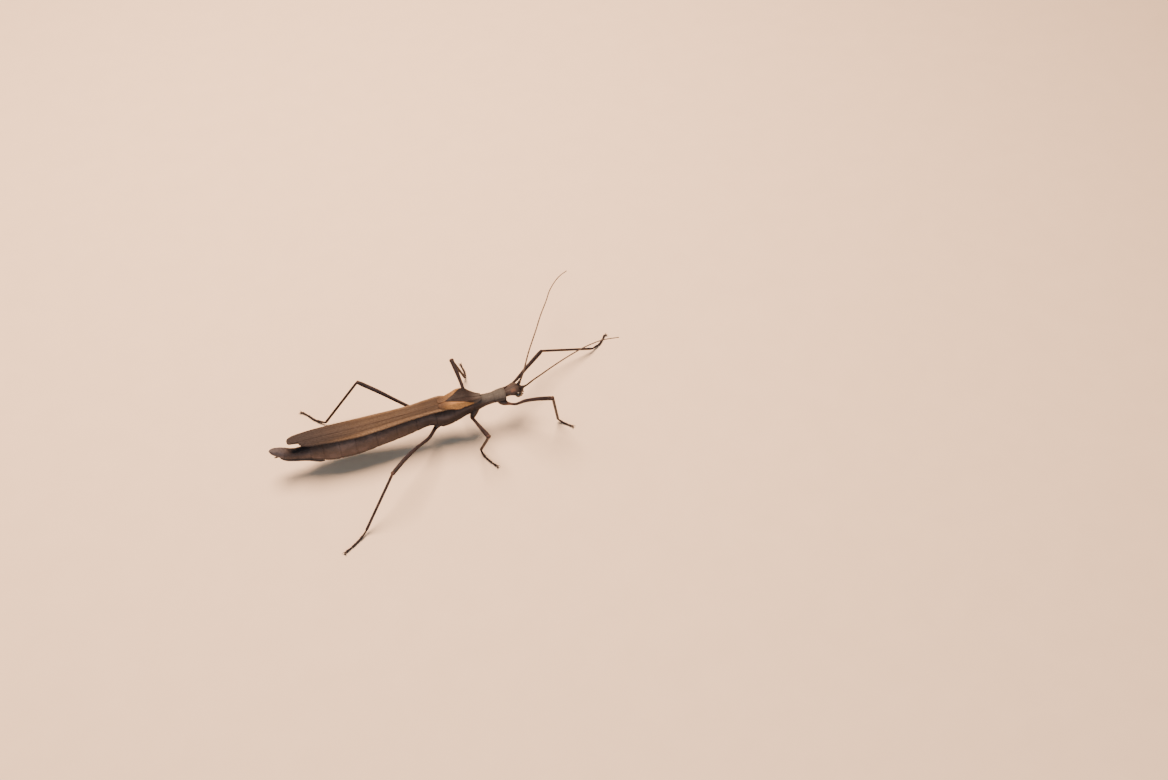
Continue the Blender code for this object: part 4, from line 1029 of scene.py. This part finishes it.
    # foot: five joints, the soles pressed flat on the floor
    toes = [np.array([x, y, 0.31 + (0.32 if i == 0 else 0.0)]) for i, (x, y) in enumerate(leg["tarsus"])]
    curve = through([ankle + np.array([0, 0, -0.12]), *toes], 200)
    span = length_of(curve) - 0.1
    count = int(span / 0.05)
    line = resampled(curve, 0.1, 0.0, count)
    t = np.linspace(0, 1, count)
    width, tall, seam = toe_profile(t)
    capped, _ = domed(line, width, (True, True), 4, 0.5)
    extra = (len(capped) - len(line)) // 2
    scale = np.concatenate([np.cos(np.linspace(1, 0, extra + 1)[:-1] * math.pi / 2 * 0.97), np.ones(count), np.cos(np.linspace(0, 1, extra + 1)[1:] * math.pi / 2 * 0.97)])
    pad = lambda v: np.concatenate([np.full(extra, v[0]), v, np.full(extra, v[-1])])
    rings = tube_rings(capped, pad(width) * scale, pad(tall) * scale, (0, 0, 1), 32)
    # each joint's underside bulges down to the floor as a soft sole
    rings[..., 2] = np.where(rings[..., 2] < 0.012, 0.012 - 0.008 * np.tanh((0.012 - rings[..., 2]) / 0.05), rings[..., 2])
    masks = {key: 0.0 for key in BODY_MASKS}
    made.append(loft("tarsus_" + name, rings, {
        **masks, "limb": np.ones((len(capped), 32)),
        "dark": np.broadcast_to(np.clip(0.35 + 0.5 * pad(seam), 0, 1)[:, None], (len(capped), 32)),
        "pale": 0.5 * (rings[..., 2] < 0.05),
        "rust": np.zeros((len(capped), 32)), "grey": np.zeros((len(capped), 32)),
        "tail": np.zeros((len(capped), 32)), "tip": np.zeros((len(capped), 32)), "belly": np.zeros((len(capped), 32)),
    }))
    return made


def united(body, parts):
    """One closed skin from the body and its limbs, with the masks carried over."""
    tree = kdtree.KDTree(sum(len(o.data.vertices) for o in (body, *parts)))
    values = {key: [] for key in BODY_MASKS}
    index = 0
    for o in (body, *parts):
        for v in o.data.vertices:
            tree.insert(v.co, index)
            index += 1
        for key in BODY_MASKS:
            buffer = np.empty(len(o.data.vertices), np.float32)
            o.data.attributes[key].data.foreach_get("value", buffer)
            values[key].append(buffer)
    tree.balance()
    values = {key: np.concatenate(v) for key, v in values.items()}
    holder = bpy.data.collections.new("limbs")
    for o in parts:
        bpy.context.scene.collection.objects.unlink(o)
        holder.objects.link(o)
    bpy.context.scene.collection.children.link(holder)
    joined = body.modifiers.new("limbs", "BOOLEAN")
    joined.operation = "UNION"
    joined.operand_type = "COLLECTION"
    joined.collection = holder
    joined.solver = "MANIFOLD"
    graph = bpy.context.evaluated_depsgraph_get()
    mesh = bpy.data.meshes.new_from_object(body.evaluated_get(graph))
    body.modifiers.clear()
    body.data = mesh
    for o in parts:
        bpy.data.objects.remove(o, do_unlink=True)
    bpy.data.collections.remove(holder)
    nearest = np.array([tree.find(v.co)[1] for v in mesh.vertices])
    for key in BODY_MASKS:
        layer = mesh.attributes.get(key)
        if layer is not None:
            mesh.attributes.remove(layer)
        layer = mesh.attributes.new(key, "FLOAT", "POINT")
        layer.data.foreach_set("value", values[key][nearest])
    mesh.shade_smooth()
    mesh.set_sharp_from_angle(angle=math.radians(48))
    return body




# Wings -----------------------------------------------------------------------------------------
WING_VEINS = (0.06, 0.2, 0.33, 0.45, 0.56, 0.67, 0.79, 0.9)  # across, 0 by the midline, 1 at the costal edge


def wing(side):
    """One folded hind wing: a leathery top with raised veins over the pleats of the closed fan."""
    sign = 1 if side == "left" else -1
    tip, inner = WING_TIP[side], WING_SEAM[side]
    tops, pleats, folds = 72, 40, 12
    tinted = 0.82 if side == "left" else 1.0
    xs = np.concatenate([
        tip + np.array([0.0, 0.03, 0.08, 0.15, 0.24, 0.35, 0.48, 0.62, 0.8, 1.0, 1.2]), stations(tip + 1.35, 50.95, 0.17),
    ])
    u = np.linspace(0, 1, tops)
    rings, across_mask, along, vein_mask, seam = [], [], [], [], []
    for x in xs:
        _, width, edge_z, mid_z = table(WING, x)
        width += table(WING_SPREAD, x)[1 if side == "left" else 2]
        if side == "right" and x < tip + 4.0:
            t = max((x - tip) / 4.0, 0)
            width = inner + 0.35 + (width - inner - 0.35) * math.sqrt(max(1 - (1 - t) ** 2, 0))
        near = (x - tip) / 1.1
        round_off = max(1 - (1 - min(near, 1)) ** 2.8, 0.0) ** (1 / 2.8)
        middle = (inner + width) / 2
        low_y, high_y = middle + (inner - middle) * max(round_off, 0.05), middle + (width - 0.02 - middle) * max(round_off, 0.05)
        y = low_y + (high_y - low_y) * u
        share = np.clip((y - inner) / (width - inner), 0, 1)
        z = mid_z + (edge_z - mid_z) * (0.25 * share + 0.75 * share**2.5)
        # veins stand up from the sunken cells between them, and run together towards the tip
        relief = np.zeros(tops)
        lines = np.zeros(tops)
        for k, at in enumerate(WING_VEINS):
            here = at + 0.012 * math.sin(x * 0.35 + k * 1.7)
            gap = (share - here) * (width - inner)
            tall = 0.06 if k in (1, 3, 5, 6) else 0.04
            relief += tall * bell(gap, 0, 0.075)
            lines += bell(gap, 0, 0.06)
        waves = 0.018 * np.cos(2 * math.pi * x / 0.8 + share * 9) * np.sin(math.pi * share)
        top_z = z - 0.075 + relief + waves
        rolled = 0.03 * bell(share, 0, 0.02) + 0.07 * bell(share, 1, 0.02)
        top_z -= rolled
        # the pleats of the fan under it
        thick = 0.24 + 0.85 * (1 - share) ** 0.7 * min(near / 3, 1)
        v = np.linspace(1, 0, pleats)
        under_y = low_y + (high_y - low_y) * v
        under_share = np.clip((under_y - inner) / (width - inner), 0, 1)
        body_top = trunk_top(x, sign * under_y) + 0.14 if x > 3 else np.full(pleats, -99.0)
        base_z = mid_z + (edge_z - mid_z) * (0.25 * under_share + 0.75 * under_share**2.5)
        under_thick = 0.3 + 0.8 * (1 - under_share) ** 0.7 * min(near / 3, 1)
        under_z = np.maximum(base_z - under_thick, body_top)
        under_z = np.minimum(under_z + 0.05 * np.cos(under_share * folds * 2 * math.pi), base_z - 0.2)
        # in front its root comes down to the back, where it is hinged
        root = float(smooth(41.5, 44.5, x) * smooth(50.9, 50.0, x)) * (1 - smooth(0.4, 0.72, under_share))
        under_z = under_z + root * np.minimum(body_top - 0.2 - under_z, 0)
        # its outer edge shows the leaves one over another
        edge = np.linspace(0, 1, 9)[1:-1]
        edge_y = high_y + 0.018 * np.cos(edge * 3 * 2 * math.pi) * min(near, 1)
        edge_zs = top_z[-1] + (under_z[0] - top_z[-1]) * edge
        inner_y = low_y - 0.01 * np.cos(edge * 3 * 2 * math.pi)
        inner_zs = under_z[-1] + (top_z[0] - under_z[-1]) * edge
        ys = np.concatenate([y, edge_y, under_y, inner_y])
        zs = np.concatenate([top_z, edge_zs, under_z, inner_zs])
        rings.append(np.column_stack([np.full(len(ys), x), sign * ys, zs]))
        across_mask.append(np.concatenate([tinted * share, np.ones(7), under_share, np.zeros(7)]))
        along.append(np.full(len(ys), x))
        pad = np.concatenate([lines, 0.3 + 0.5 * (np.cos(edge * 3 * 2 * math.pi) < 0), 0.3 + 0.4 * np.cos(under_share * folds * math.pi) ** 2, np.zeros(7)])
        vein_mask.append(np.clip(pad, 0, 1))
        dark = 0.12 * bell(share, 0, 0.1) + 0.2 * bell(share, 0.5, 0.06) + 0.45 * smooth(0.9, 1.0, share)
        seam.append(np.concatenate([np.clip(dark, 0, 1), np.full(7, 0.5), np.full(pleats, 0.3), np.full(7, 0.4)]))
    return loft("wing_" + side, rings, {
        "across": np.array(across_mask), "along": np.array(along), "vein": np.array(vein_mask), "seam": np.array(seam),
    }, materials=[MATERIALS["wing"]], sharp=60)


def tegmen(side):
    """One short wing cover: humped along a ridge, with a dark back half and a light outer half."""
    sign = 1 if side == "left" else -1
    inner_n, outer_n = 34, 30
    xs = np.concatenate([[44.62, 44.66, 44.73, 44.83], stations(44.95, 56.05, 0.1), [56.14, 56.22, 56.28, 56.32]])
    rings, masks = [], {key: [] for key in ("across", "along", "band", "vein", "rim", "behind")}
    for x in xs:
        _, yi, zi, yr, zr, yo, zo = table(TEGMEN, x)
        yi = 0.03 + 0.2 * (yi - 0.16)
        t, r = np.linspace(0, 1, inner_n), np.linspace(0, 1, outer_n)[1:]
        y = np.concatenate([yi + (yr - yi) * t, yr + (yo - yr) * r**0.8])
        z = np.concatenate([zi + (zr - zi) * t**1.5, zr + (zo - zr) * r**1.3])
        z = z - 0.62 * float(smooth(48.4, 44.8, x))
        # ends are rounded in outline
        near = min((x - 44.6) / 0.55, (56.34 - x) / 0.4, 1)
        keep = math.sqrt(max(1 - (1 - near) ** 2, 0.003))
        y, z = yr + (y - yr) * keep, z + 0
        soft = np.ones(7) / 7
        y = np.concatenate([y[:3], np.convolve(y, soft, "valid"), y[-3:]])
        z = np.concatenate([z[:3], np.convolve(z, soft, "valid"), z[-3:]])
        share = np.concatenate([0.5 * t, 0.5 + 0.5 * r])
        step = np.gradient(np.column_stack([y, z]), axis=0)
        normal = unit(np.column_stack([-step[:, 1], step[:, 0]]))
        normal *= np.where(normal[:, 1:] < 0, -1, 1)
        # veins fan out from the shoulder, close to the ridge in front
        spread = float(smooth(56.5, 47.0, x))
        lines = np.zeros(len(y))
        relief = np.zeros(len(y))
        for k, at in enumerate((-0.42, -0.3, -0.19, -0.09, 0.0, 0.1, 0.2, 0.31, 0.42)):
            here = 0.5 + at * (0.35 + 0.65 * spread)
            tall = 0.05 if k == 4 else 0.035
            relief += tall * bell(share, here, 0.014)
            lines += bell(share, here, 0.012)
        relief += 0.012 * np.cos(2 * math.pi * x / 0.62 + share * 14) * np.sin(math.pi * share)
        relief -= 0.03 * (bell(share, 0, 0.02) + bell(share, 1, 0.02))
        top = np.column_stack([y, z]) + normal * (relief[:, None] - 0.06)
        # in front it thickens into its hinge and rests on the back
        under = top - normal * (0.22 + 0.34 * float(smooth(53.8, 55.6, x)))
        if x < 50.6:
            _, wide, edge_z, mid_z = table(WING, x)
            wide += table(WING_SPREAD, x)[1 if side == "left" else 2]
            s = np.clip((under[:, 0] - WING_SEAM["right"]) / (wide - WING_SEAM["right"]), 0, 1)
            bed = mid_z + (edge_z - mid_z) * (0.25 * s + 0.75 * s**2.5) + 0.03
            under = np.column_stack([under[:, 0], np.minimum(under[:, 1], np.maximum(bed, under[:, 1] - 0.7))])
        ring = np.vstack([top, under[::-1]])
        rings.append(np.column_stack([np.full(len(ring), x), sign * ring[:, 0], ring[:, 1]]))
        n = len(y)
        # the light outer half brightens backward; the dark inner half ends in a slant behind
        upper = np.interp(x, (46.2, 47.2, 49.0, 50.8, 52.0, 53.5, 54.5, 55.3), (-0.1, 0.1, 0.28, 0.46, 0.58, 0.72, 0.82, 0.9))
        lower = np.interp(x, (48.7, 50.0, 51.3, 53.0, 54.5, 55.3), (1.12, 0.97, 0.88, 0.86, 0.92, 0.97))
        wedge = smooth(upper - 0.08, upper + 0.07, share) * (1 - smooth(lower - 0.05, lower + 0.07, share))
        band = wedge * float(np.interp(x, (50.4, 52.0, 53.5, 55.0), (1, 0.85, 0.55, 0.24)))
        slant = 46.8 + (0.9 if side == "right" else 3.4) * (np.minimum(share, 0.5) / 0.5)
        behind = smooth(1.5, -1.9, x - slant) * (0.8 if side == "right" else 0.6)
        band = np.clip(np.maximum(band, behind * (share < 0.5)), 0, 1)
        band = band * (1 - 0.62 * (1 - smooth(0.1, 0.46, share)) * float(smooth(45.4, 48.6, x)))
        masks["behind"].append(np.concatenate([behind * (1 - smooth(0.4, 0.6, share)), np.zeros(n)]))
        masks["across"].append(np.concatenate([share, share[::-1]]))
        masks["along"].append(np.full(2 * n, x))
        masks["band"].append(np.concatenate([band, 0.4 * band[::-1]]))
        masks["vein"].append(np.concatenate([np.clip(lines, 0, 1), np.zeros(n)]))
        rim = np.clip(0.25 * bell(share, 0, 0.03) * float(smooth(49, 52, x)) + 0.15 * bell(share, 1, 0.02), 0, 1)
        masks["rim"].append(np.concatenate([rim, rim[::-1]]))
    return loft("tegmen_" + side, rings, {k: np.array(v) for k, v in masks.items()}, materials=[MATERIALS["tegmen"]], sharp=70)


# Eyes ------------------------------------------------------------------------------------------
def ico_sphere(steps):
    """Points and faces of a unit sphere of triangles."""
    g = (1 + 5**0.5) / 2
    points = [(-1, g, 0), (1, g, 0), (-1, -g, 0), (1, -g, 0), (0, -1, g), (0, 1, g), (0, -1, -g), (0, 1, -g), (g, 0, -1), (g, 0, 1), (-g, 0, -1), (-g, 0, 1)]
    faces = [(0, 11, 5), (0, 5, 1), (0, 1, 7), (0, 7, 10), (0, 10, 11), (1, 5, 9), (5, 11, 4), (11, 10, 2), (10, 7, 6), (7, 1, 8),
             (3, 9, 4), (3, 4, 2), (3, 2, 6), (3, 6, 8), (3, 8, 9), (4, 9, 5), (2, 4, 11), (6, 2, 10), (8, 6, 7), (9, 8, 1)]
    points = [tuple(p) for p in unit(np.array(points, float))]
    levels = [len(points)]
    for _ in range(steps):
        seen, made = {}, []

        def half(a, b):
            key = (min(a, b), max(a, b))
            if key not in seen:
                seen[key] = len(points)
                points.append(tuple(unit(np.add(points[a], points[b]))))
            return seen[key]

        for a, b, c in faces:
            ab, bc, ca = half(a, b), half(b, c), half(c, a)
            made += [(a, ab, ca), (b, bc, ab), (c, ca, bc), (ab, bc, ca)]
        faces = made
        levels.append(len(points))
    return np.array(points), faces, levels


def eye(side):
    """A bulging compound eye: each lens is a low dome on a fine mesh, the lenses of the level below."""
    sign = 1 if side == "left" else -1
    points, faces, levels = ico_sphere(5)
    lens = np.zeros(len(points))
    lens[: levels[-2]] = 1.0
    turn = math.radians(HEAD_YAW)
    centre = head_point(EYE_AT[0], sign * EYE_AT[1], EYE_AT[2])
    size = np.array([EYE_RADIUS, EYE_RADIUS * 0.8, EYE_RADIUS * 0.92]) - 0.03
    own = points * size * (1 + 0.012 * (lens[:, None] - 0.5))
    out = points[:, 1] * sign
    world = np.column_stack([
        centre[0] + own[:, 0] * math.cos(turn) - own[:, 1] * math.sin(turn),
        centre[1] + own[:, 0] * math.sin(turn) + own[:, 1] * math.cos(turn), centre[2] + own[:, 2],
    ])
    rim = 1 - smooth(-0.05, 0.22, out)
    return solid("eye_" + side, world, faces, {"rim": rim, "facet": 0.55 + 0.45 * lens}, sharp=None, materials=[MATERIALS["eye"]])


# Feelers ---------------------------------------------------------------------------------------
def feeler(side):
    """A feeler: stout first joint, small second one, then about sixty fine joints to the tip."""
    curve = through(ANTENNAE[side], 1500)
    total = length_of(curve) - 0.1
    rng = np.random.default_rng(3 if side == "left" else 4)
    edges = [0.0, 1.6, 2.15]
    grow = 0.34
    while edges[-1] < total - 0.5:
        edges.append(edges[-1] + grow * rng.uniform(0.9, 1.1))
        grow = min(grow * 1.035, 0.86)
    edges[-1] = total
    s, radius, masks = [], [], {key: [] for key in ("band", "joint", "base")}
    for i, (a, b) in enumerate(zip(edges[:-1], edges[1:])):
        u = np.array([0.0, 0.03, 0.08, 0.2, 0.4, 0.6, 0.8, 0.9, 0.96, 0.995]) if i < 2 else np.array([0.0, 0.06, 0.2, 0.45, 0.7, 0.9, 0.985])
        here = a + (b - a) * u
        if i == 0:
            r = 0.27 + 0.175 * smooth(0, 0.18, u) - 0.03 * smooth(0.4, 0.8, u) - 0.13 * smooth(0.88, 1, u)
        elif i == 1:
            r = 0.23 + 0.07 * smooth(0, 0.3, u) - 0.08 * smooth(0.75, 1, u)
        else:
            slim = np.interp(here, (2, 4.4, 5.2, 12, total), (0.26, 0.25, 0.235, 0.205, 0.13))
            r = slim * (0.9 + 0.16 * u - 0.16 * smooth(0.88, 1, u) - 0.12 * (1 - smooth(0, 0.1, u)))
        s.append(here)
        radius.append(r)
        dark = float(np.interp(i, (6, 9), (1, 0)))
        masks["base"].append(np.full(len(u), dark))
        masks["joint"].append(0.75 * bell(u, 0, 0.09) + 0.75 * bell(u, 1, 0.07))
        banded = float(i >= 2 and (i % 7 in (5, 6))) * 0.9 + float(i < 9) * 0.5
        masks["band"].append(np.full(len(u), min(banded, 1)))
    s, radius = np.concatenate(s), np.concatenate(radius)
    along = np.concatenate([[0], np.cumsum(np.linalg.norm(np.diff(curve, axis=0), axis=1))])
    points = np.column_stack([np.interp(s, along, curve[:, k]) for k in range(3)])
    tip = unit(points[-1] - points[-2])
    points = np.vstack([points, points[-1] + tip * 0.04, points[-1] + tip * 0.07])
    radius = np.concatenate([radius, [radius[-1] * 0.7, radius[-1] * 0.25]])
    rings = tube_rings(points, radius, radius, (0, 0, 1), 14)
    out = {k: np.pad(np.clip(np.concatenate(v), 0, 1), (0, 2), mode="edge")[:, None] for k, v in masks.items()}
    return loft("feeler_" + side, rings, out, materials=[MATERIALS["feeler"]], sharp=60)


# Claws -----------------------------------------------------------------------------------------
def claws(name, leg):
    """Two hooked claws with the soft pad between them."""
    toe, before = (np.array([*p, 0.31]) for p in (leg["tarsus"][-1], leg["tarsus"][-2]))
    ahead = math.atan2(toe[1] - before[1], toe[0] - before[0]) + math.radians(leg["claw_turn"])
    forward = np.array([math.cos(ahead), math.sin(ahead), 0])
    left = np.array([-math.sin(ahead), math.cos(ahead), 0])
    root = toe + forward * 0.3
    pieces = []
    for sign in (1, -1):
        hook = through([
            root + left * sign * 0.06 - forward * 0.12 + np.array([0, 0, 0.06]),
            root + left * sign * 0.2 + forward * 0.18 + np.array([0, 0, 0.19]),
            root + left * sign * 0.4 + forward * 0.48 + np.array([0, 0, 0.16]),
            root + left * sign * 0.54 + forward * 0.76 + np.array([0, 0, 0.0]),
            root + left * sign * 0.58 + forward * 0.87 + np.array([0, 0, -0.1]),
        ], 34)
        t = np.linspace(0, 1, 34)
        radius = 0.135 * (1 - t) ** 0.75 + 0.012
        rings = tube_rings(hook, radius * 0.8, radius, (0, 0, 1), 16)
        verts, faces, out = loft_data(rings, {"tipward": smooth(0.1, 0.8, t)[:, None], "pad": 0.0})
        pieces.append((verts, faces, out, 0))
    t = np.linspace(0, math.pi, 20)
    pad = root + forward * 0.3 + np.array([0, 0, -0.06]) - forward * (0.3 * np.cos(t))[:, None]
    shape = np.maximum(np.sin(t), 0.04) ** 0.7
    rings = tube_rings(pad, 0.26 * shape, 0.17 * shape, (0, 0, 1), 22, power=2.3)
    verts, faces, out = loft_data(rings, {"tipward": 0.0, "pad": 1.0})
    pieces.append((verts, faces, out, 0))
    # the little cuff that the claws turn in
    cuff = np.array([root + forward * s + np.array([0, 0, 0.02]) for s in np.linspace(-0.36, 0.06, 12)])
    radius = np.interp(np.linspace(0, 1, 12), (0, 0.15, 0.5, 0.85, 1), (0.1, 0.19, 0.23, 0.19, 0.1))
    rings = tube_rings(cuff, radius, radius * 0.85, (0, 0, 1), 20)
    verts, faces, out = loft_data(rings, {"tipward": 0.35, "pad": 0.0})
    pieces.append((verts, faces, out, 0))
    return gather("claws_" + name, pieces, materials=[MATERIALS["claw"]])


# Plates under the tail, cerci and mouthparts ---------------------------------------------------
def operculum():
    """The boat-shaped plate under the end of the abdomen, keeled and rolled in at its rim."""
    xs = np.linspace(13.2, 3.0, 90)
    n = 61
    rings, dark = [], []
    for i, x in enumerate(xs):
        t = i / (len(xs) - 1)
        _, y, z, a, b = table(TRUNK, x)
        lean = tail_lean(x)
        spread = 62 - 30 * t**2
        thick = 0.72 + 0.25 * math.sin(math.pi * t)
        edge = 1 - np.abs(np.linspace(-1, 1, n))
        angle = np.radians(-90 - spread + 2 * spread * np.linspace(0, 1, n))
        c, s = np.cos(angle), np.sin(angle)
        ends = min(1, (i + 1) / 11, (len(xs) - i) / 7)
        outer = thick * (0.55 + 0.45 * edge) * (0.35 + 0.65 * math.sqrt(ends)) - 0.05
        outer = outer + 0.045 * bell(edge, 1, 0.035) - 0.03 * bell(edge, 0.9, 0.05) - 0.1 * bell(edge, 0, 0.04)
        outer = outer - 0.03 * bell(edge, 0.14, 0.035) + 0.012 * np.cos(t * 60) * bell(edge, 0.5, 0.3)
        ring = []
        for grow, order in ((outer, slice(None)), (np.full(n, 0.06), slice(None, None, -1))):
            w = (a + grow) * np.sign(c) * np.abs(c) ** (2 / TRUNK_SQUARE)
            h = (b + grow) * np.sign(s) * np.abs(s) ** (2 / TRUNK_SQUARE)
            ring.append(np.column_stack([x + h * lean, y + w, z + h])[order])
        rings.append(np.vstack(ring))
        line = np.clip(0.6 * bell(edge, 0.0, 0.06) + 0.3 * bell(edge, 0.14, 0.04) + 0.7 * (t < 0.03) + 0.5 * (t > 0.97), 0, 1)
        dark.append(np.concatenate([line, line[::-1]]))
    return loft("operculum", rings, {"dark": np.array(dark), "jaw": 0.0}, materials=[MATERIALS["plate"]], sharp=60)


def cercus(side):
    sign = 1 if side == "left" else -1
    start = np.array([1.7, 0.38 + sign * 0.62, 7.62])
    points = np.array([start + np.array([-0.4 * k, sign * 0.08 * k, 0.1 * k]) for k in np.linspace(-0.6, 1.7, 30)])
    t = np.linspace(0, 1, 30)
    radius = 0.19 + 0.03 * np.sin(math.pi * t) - 0.09 * t**3 + 0.008 * np.cos(t * 40)
    points, radius = domed(points, radius, bulge=1.1)
    rings = tube_rings(points, radius, radius * 0.9, (0, 0, 1), 24)
    return loft("cercus_" + side, rings, {"dark": 0.35, "jaw": 0.0}, materials=[MATERIALS["plate"]])


def face_point(s, across, over):
    """A point of the face, going straight on past the front of the head."""
    p = head_point(min(s, 5.15), across, over)
    if s > 5.15:
        turn = math.radians(HEAD_YAW)
        p = p + np.array([math.cos(turn), math.sin(turn), 0]) * (s - 5.15)
    return p


def mouthparts():
    """Upper lip, the two jaws, the lower lip and its palps, under the front of the head."""
    pieces = []
    turn = math.radians(HEAD_YAW)
    ahead = np.array([math.cos(turn), math.sin(turn), 0])
    # upper lip: a rounded plate with a notch, hanging over the jaws
    n, rows = 40, 26
    rings = []
    for t in np.linspace(0, 1, rows):
        width = 0.66 * (1 - 0.18 * t) * math.sqrt(max(1 - max(0, (t - 0.72) / 0.28) ** 2, 0.01))
        drop = -0.55 - 1.05 * t
        across, deep, _ = round_section(n, 2.6)
        ring = [face_point(5.12 + 0.16 * math.sin(t * 2.4) + 0.1 * q - 0.05 * (abs(p) ** 2) , p * width, drop) for p, q in zip(across, deep)]
        rings.append(ring)
    verts, faces, out = loft_data(rings, {"jaw": 1.0, "dark": (0.5 * bell(np.linspace(0, 1, rows), 0.28, 0.05) + 0.3 * smooth(0.85, 1, np.linspace(0, 1, rows)))[:, None]})
    pieces.append((verts, faces, out, 0))
    # jaws: two curved blades that meet below the lip
    for sign in (1, -1):
        rings = []
        for t in np.linspace(0, 1, 26):
            size = math.sqrt(max(1 - (2 * t - 1) ** 4, 0.02))
            centre = (4.15 + 0.72 * t, sign * (0.72 - 0.4 * t**2), -1.2 - 0.42 * math.sin(t * 2.2))
            across, up, _ = round_section(30, 2.4)
            rings.append([face_point(centre[0], centre[1] + 0.3 * size * p, centre[2] + 0.42 * size * q) for p, q in zip(across, up)])
        t = np.linspace(0, 1, 26)
        verts, faces, out = loft_data(rings, {"jaw": 0.8, "dark": (0.25 + 0.6 * smooth(0.7, 1, t))[:, None]})
        pieces.append((verts, faces, out, 0))
    # lower lip: a two-lobed plate below
    for sign in (1, -1):
        rings = []
        for t in np.linspace(0, 1, 24):
            size = math.sqrt(max(1 - (2 * t - 1) ** 6, 0.02))
            across, up, _ = round_section(28, 2.3)
            rings.append([face_point(3.62 + 1.35 * t, sign * 0.33 + 0.34 * size * (1 - 0.3 * t) * p, -1.66 - 0.18 * math.sin(t * 3) + 0.26 * size * q) for p, q in zip(across, up)])
        verts, faces, out = loft_data(rings, {"jaw": 0.6, "dark": 0.25})
        pieces.append((verts, faces, out, 0))
    # palps: jointed fingers, the outer pair longer
    for sign in (1, -1):
        for path, joints, size in (
            (((3.5, 1.0, -1.25), (3.8, 1.2, -1.6), (4.1, 1.12, -1.86), (4.45, 0.92, -1.98)), 4, 0.17),
            (((4.2, 0.42, -1.8), (4.5, 0.66, -1.9), (4.8, 0.7, -1.82), (5.05, 0.6, -1.66)), 3, 0.14),
        ):
            curve = through([face_point(s, sign * w, h) for s, w, h in path], 60)
            t = np.linspace(0, 1, 60)
            u = (t * joints) % 1
            u[-1] = 1
            radius = size * (0.72 + 0.3 * u - 0.3 * smooth(0.86, 1, u))
            curve, radius = domed(curve, radius)
            seam = np.pad(bell(u, 0, 0.1) + bell(u, 1, 0.08), (5, 5), mode="edge")
            rings = tube_rings(curve, radius, radius, (0, 0, 1), 18)
            verts, faces, out = loft_data(rings, {"jaw": 0.45, "dark": np.clip(0.15 + 0.6 * seam, 0, 1)[:, None]})
            pieces.append((verts, faces, out, 0))
    return gather("mouthparts_detail", pieces, materials=[MATERIALS["plate"]])


# Making and placing the pieces -----------------------------------------------------------------
def stand_for(piece, slot, *nodes):
    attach(piece, "root")
    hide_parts(*nodes)


skin = body_loft()
united(skin, [part for name, leg in LEGS.items() for part in leg_parts(name, leg)])
skin.data.materials.clear()
skin.data.materials.append(MATERIALS["skin"])
skin.data.polygons.foreach_set("material_index", np.zeros(len(skin.data.polygons), np.int32))
stand_for(
    skin, "cuticle_abdomen", "prothorax", "mesothorax", "metathorax", "abdomen_base", "abdomen_middle",
    "abdomen_rear", "abdomen_tip", "head", *(part + name for part in ("coxa_", "femur_", "tibia_", "tarsus_") for name in LEGS),
)
for side in ("left", "right"):
    stand_for(wing(side), "wing", "wing_" + side)
    stand_for(tegmen(side), "tegmen", "tegmen_" + side)
    stand_for(eye(side), "eye", "eye_" + side)
    stand_for(feeler(side), "antenna", "scape_" + side, "antenna_%s_base" % side, "antenna_%s_tip" % side)
    stand_for(cercus(side), "cuticle_abdomen", "cercus_" + side)
for name, leg in LEGS.items():
    stand_for(claws(name, leg), "claw", "claws_" + name)
stand_for(operculum(), "cuticle_abdomen", "operculum")
stand_for(mouthparts(), "cuticle_head", "mouthparts", "palp_left", "palp_right")


# Floor, light and camera -----------------------------------------------------------------------
def floor():
    f = Finish("floor", 0.85, Specular_IOR_Level=0.2)
    grain = f.noise(9, 2)
    tint = f.shade(colour(*FLOOR_TINT), grain, 0.985, 1.015)
    f.bump(f.noise(1.2, 2), 0.03, 0.15)
    f.done(tint)
    size = 3.0
    mesh = bpy.data.meshes.new("floor")
    mesh.from_pydata([(-size, -size, 0), (size, -size, 0), (size, size, 0), (-size, size, 0)], [], [(0, 1, 2, 3)])
    made = bpy.data.objects.new("floor", mesh)
    made.location.z = -0.00002
    mesh.materials.append(f.made)
    bpy.context.scene.collection.objects.link(made)


def lamp(name, place, aim, size, power, tint):
    data = bpy.data.lights.new(name, "AREA")
    data.shape = "DISK"
    data.size = size
    data.energy = power
    data.color = tint
    made = bpy.data.objects.new(name, data)
    made.location = place
    made.rotation_mode = "QUATERNION"
    made.rotation_quaternion = (Vector(aim) - Vector(place)).to_track_quat("-Z", "Y")
    bpy.context.scene.collection.objects.link(made)


FLOOR_TINT = (237, 212, 184)
floor()
lamp("key", (-0.03, 0.19, 0.5), (0, 0, 0), 0.35, 10.1, (1.0, 0.7, 0.5))
lamp("fill", (-0.1, -0.5, 0.1), (0, 0, 0.008), 0.36, 1.7, (0.82, 0.91, 1.0))
world = bpy.data.worlds.new("studio")
world.use_nodes = True
world.node_tree.nodes["Background"].inputs["Color"].default_value = (0.64, 0.8, 1.0, 1)
world.node_tree.nodes["Background"].inputs["Strength"].default_value = 0.2
bpy.context.scene.world = world

camera_data = bpy.data.cameras.new("camera")
camera_data.lens = 36.68
camera_data.sensor_width = 36
camera_data.clip_start = 0.01
camera = bpy.data.objects.new("camera", camera_data)
camera.location = (-0.029487, -0.202880, 0.253897)
camera.rotation_euler = (math.radians(40), 0, math.radians(-18.02))
bpy.context.scene.collection.objects.link(camera)
bpy.context.scene.camera = camera
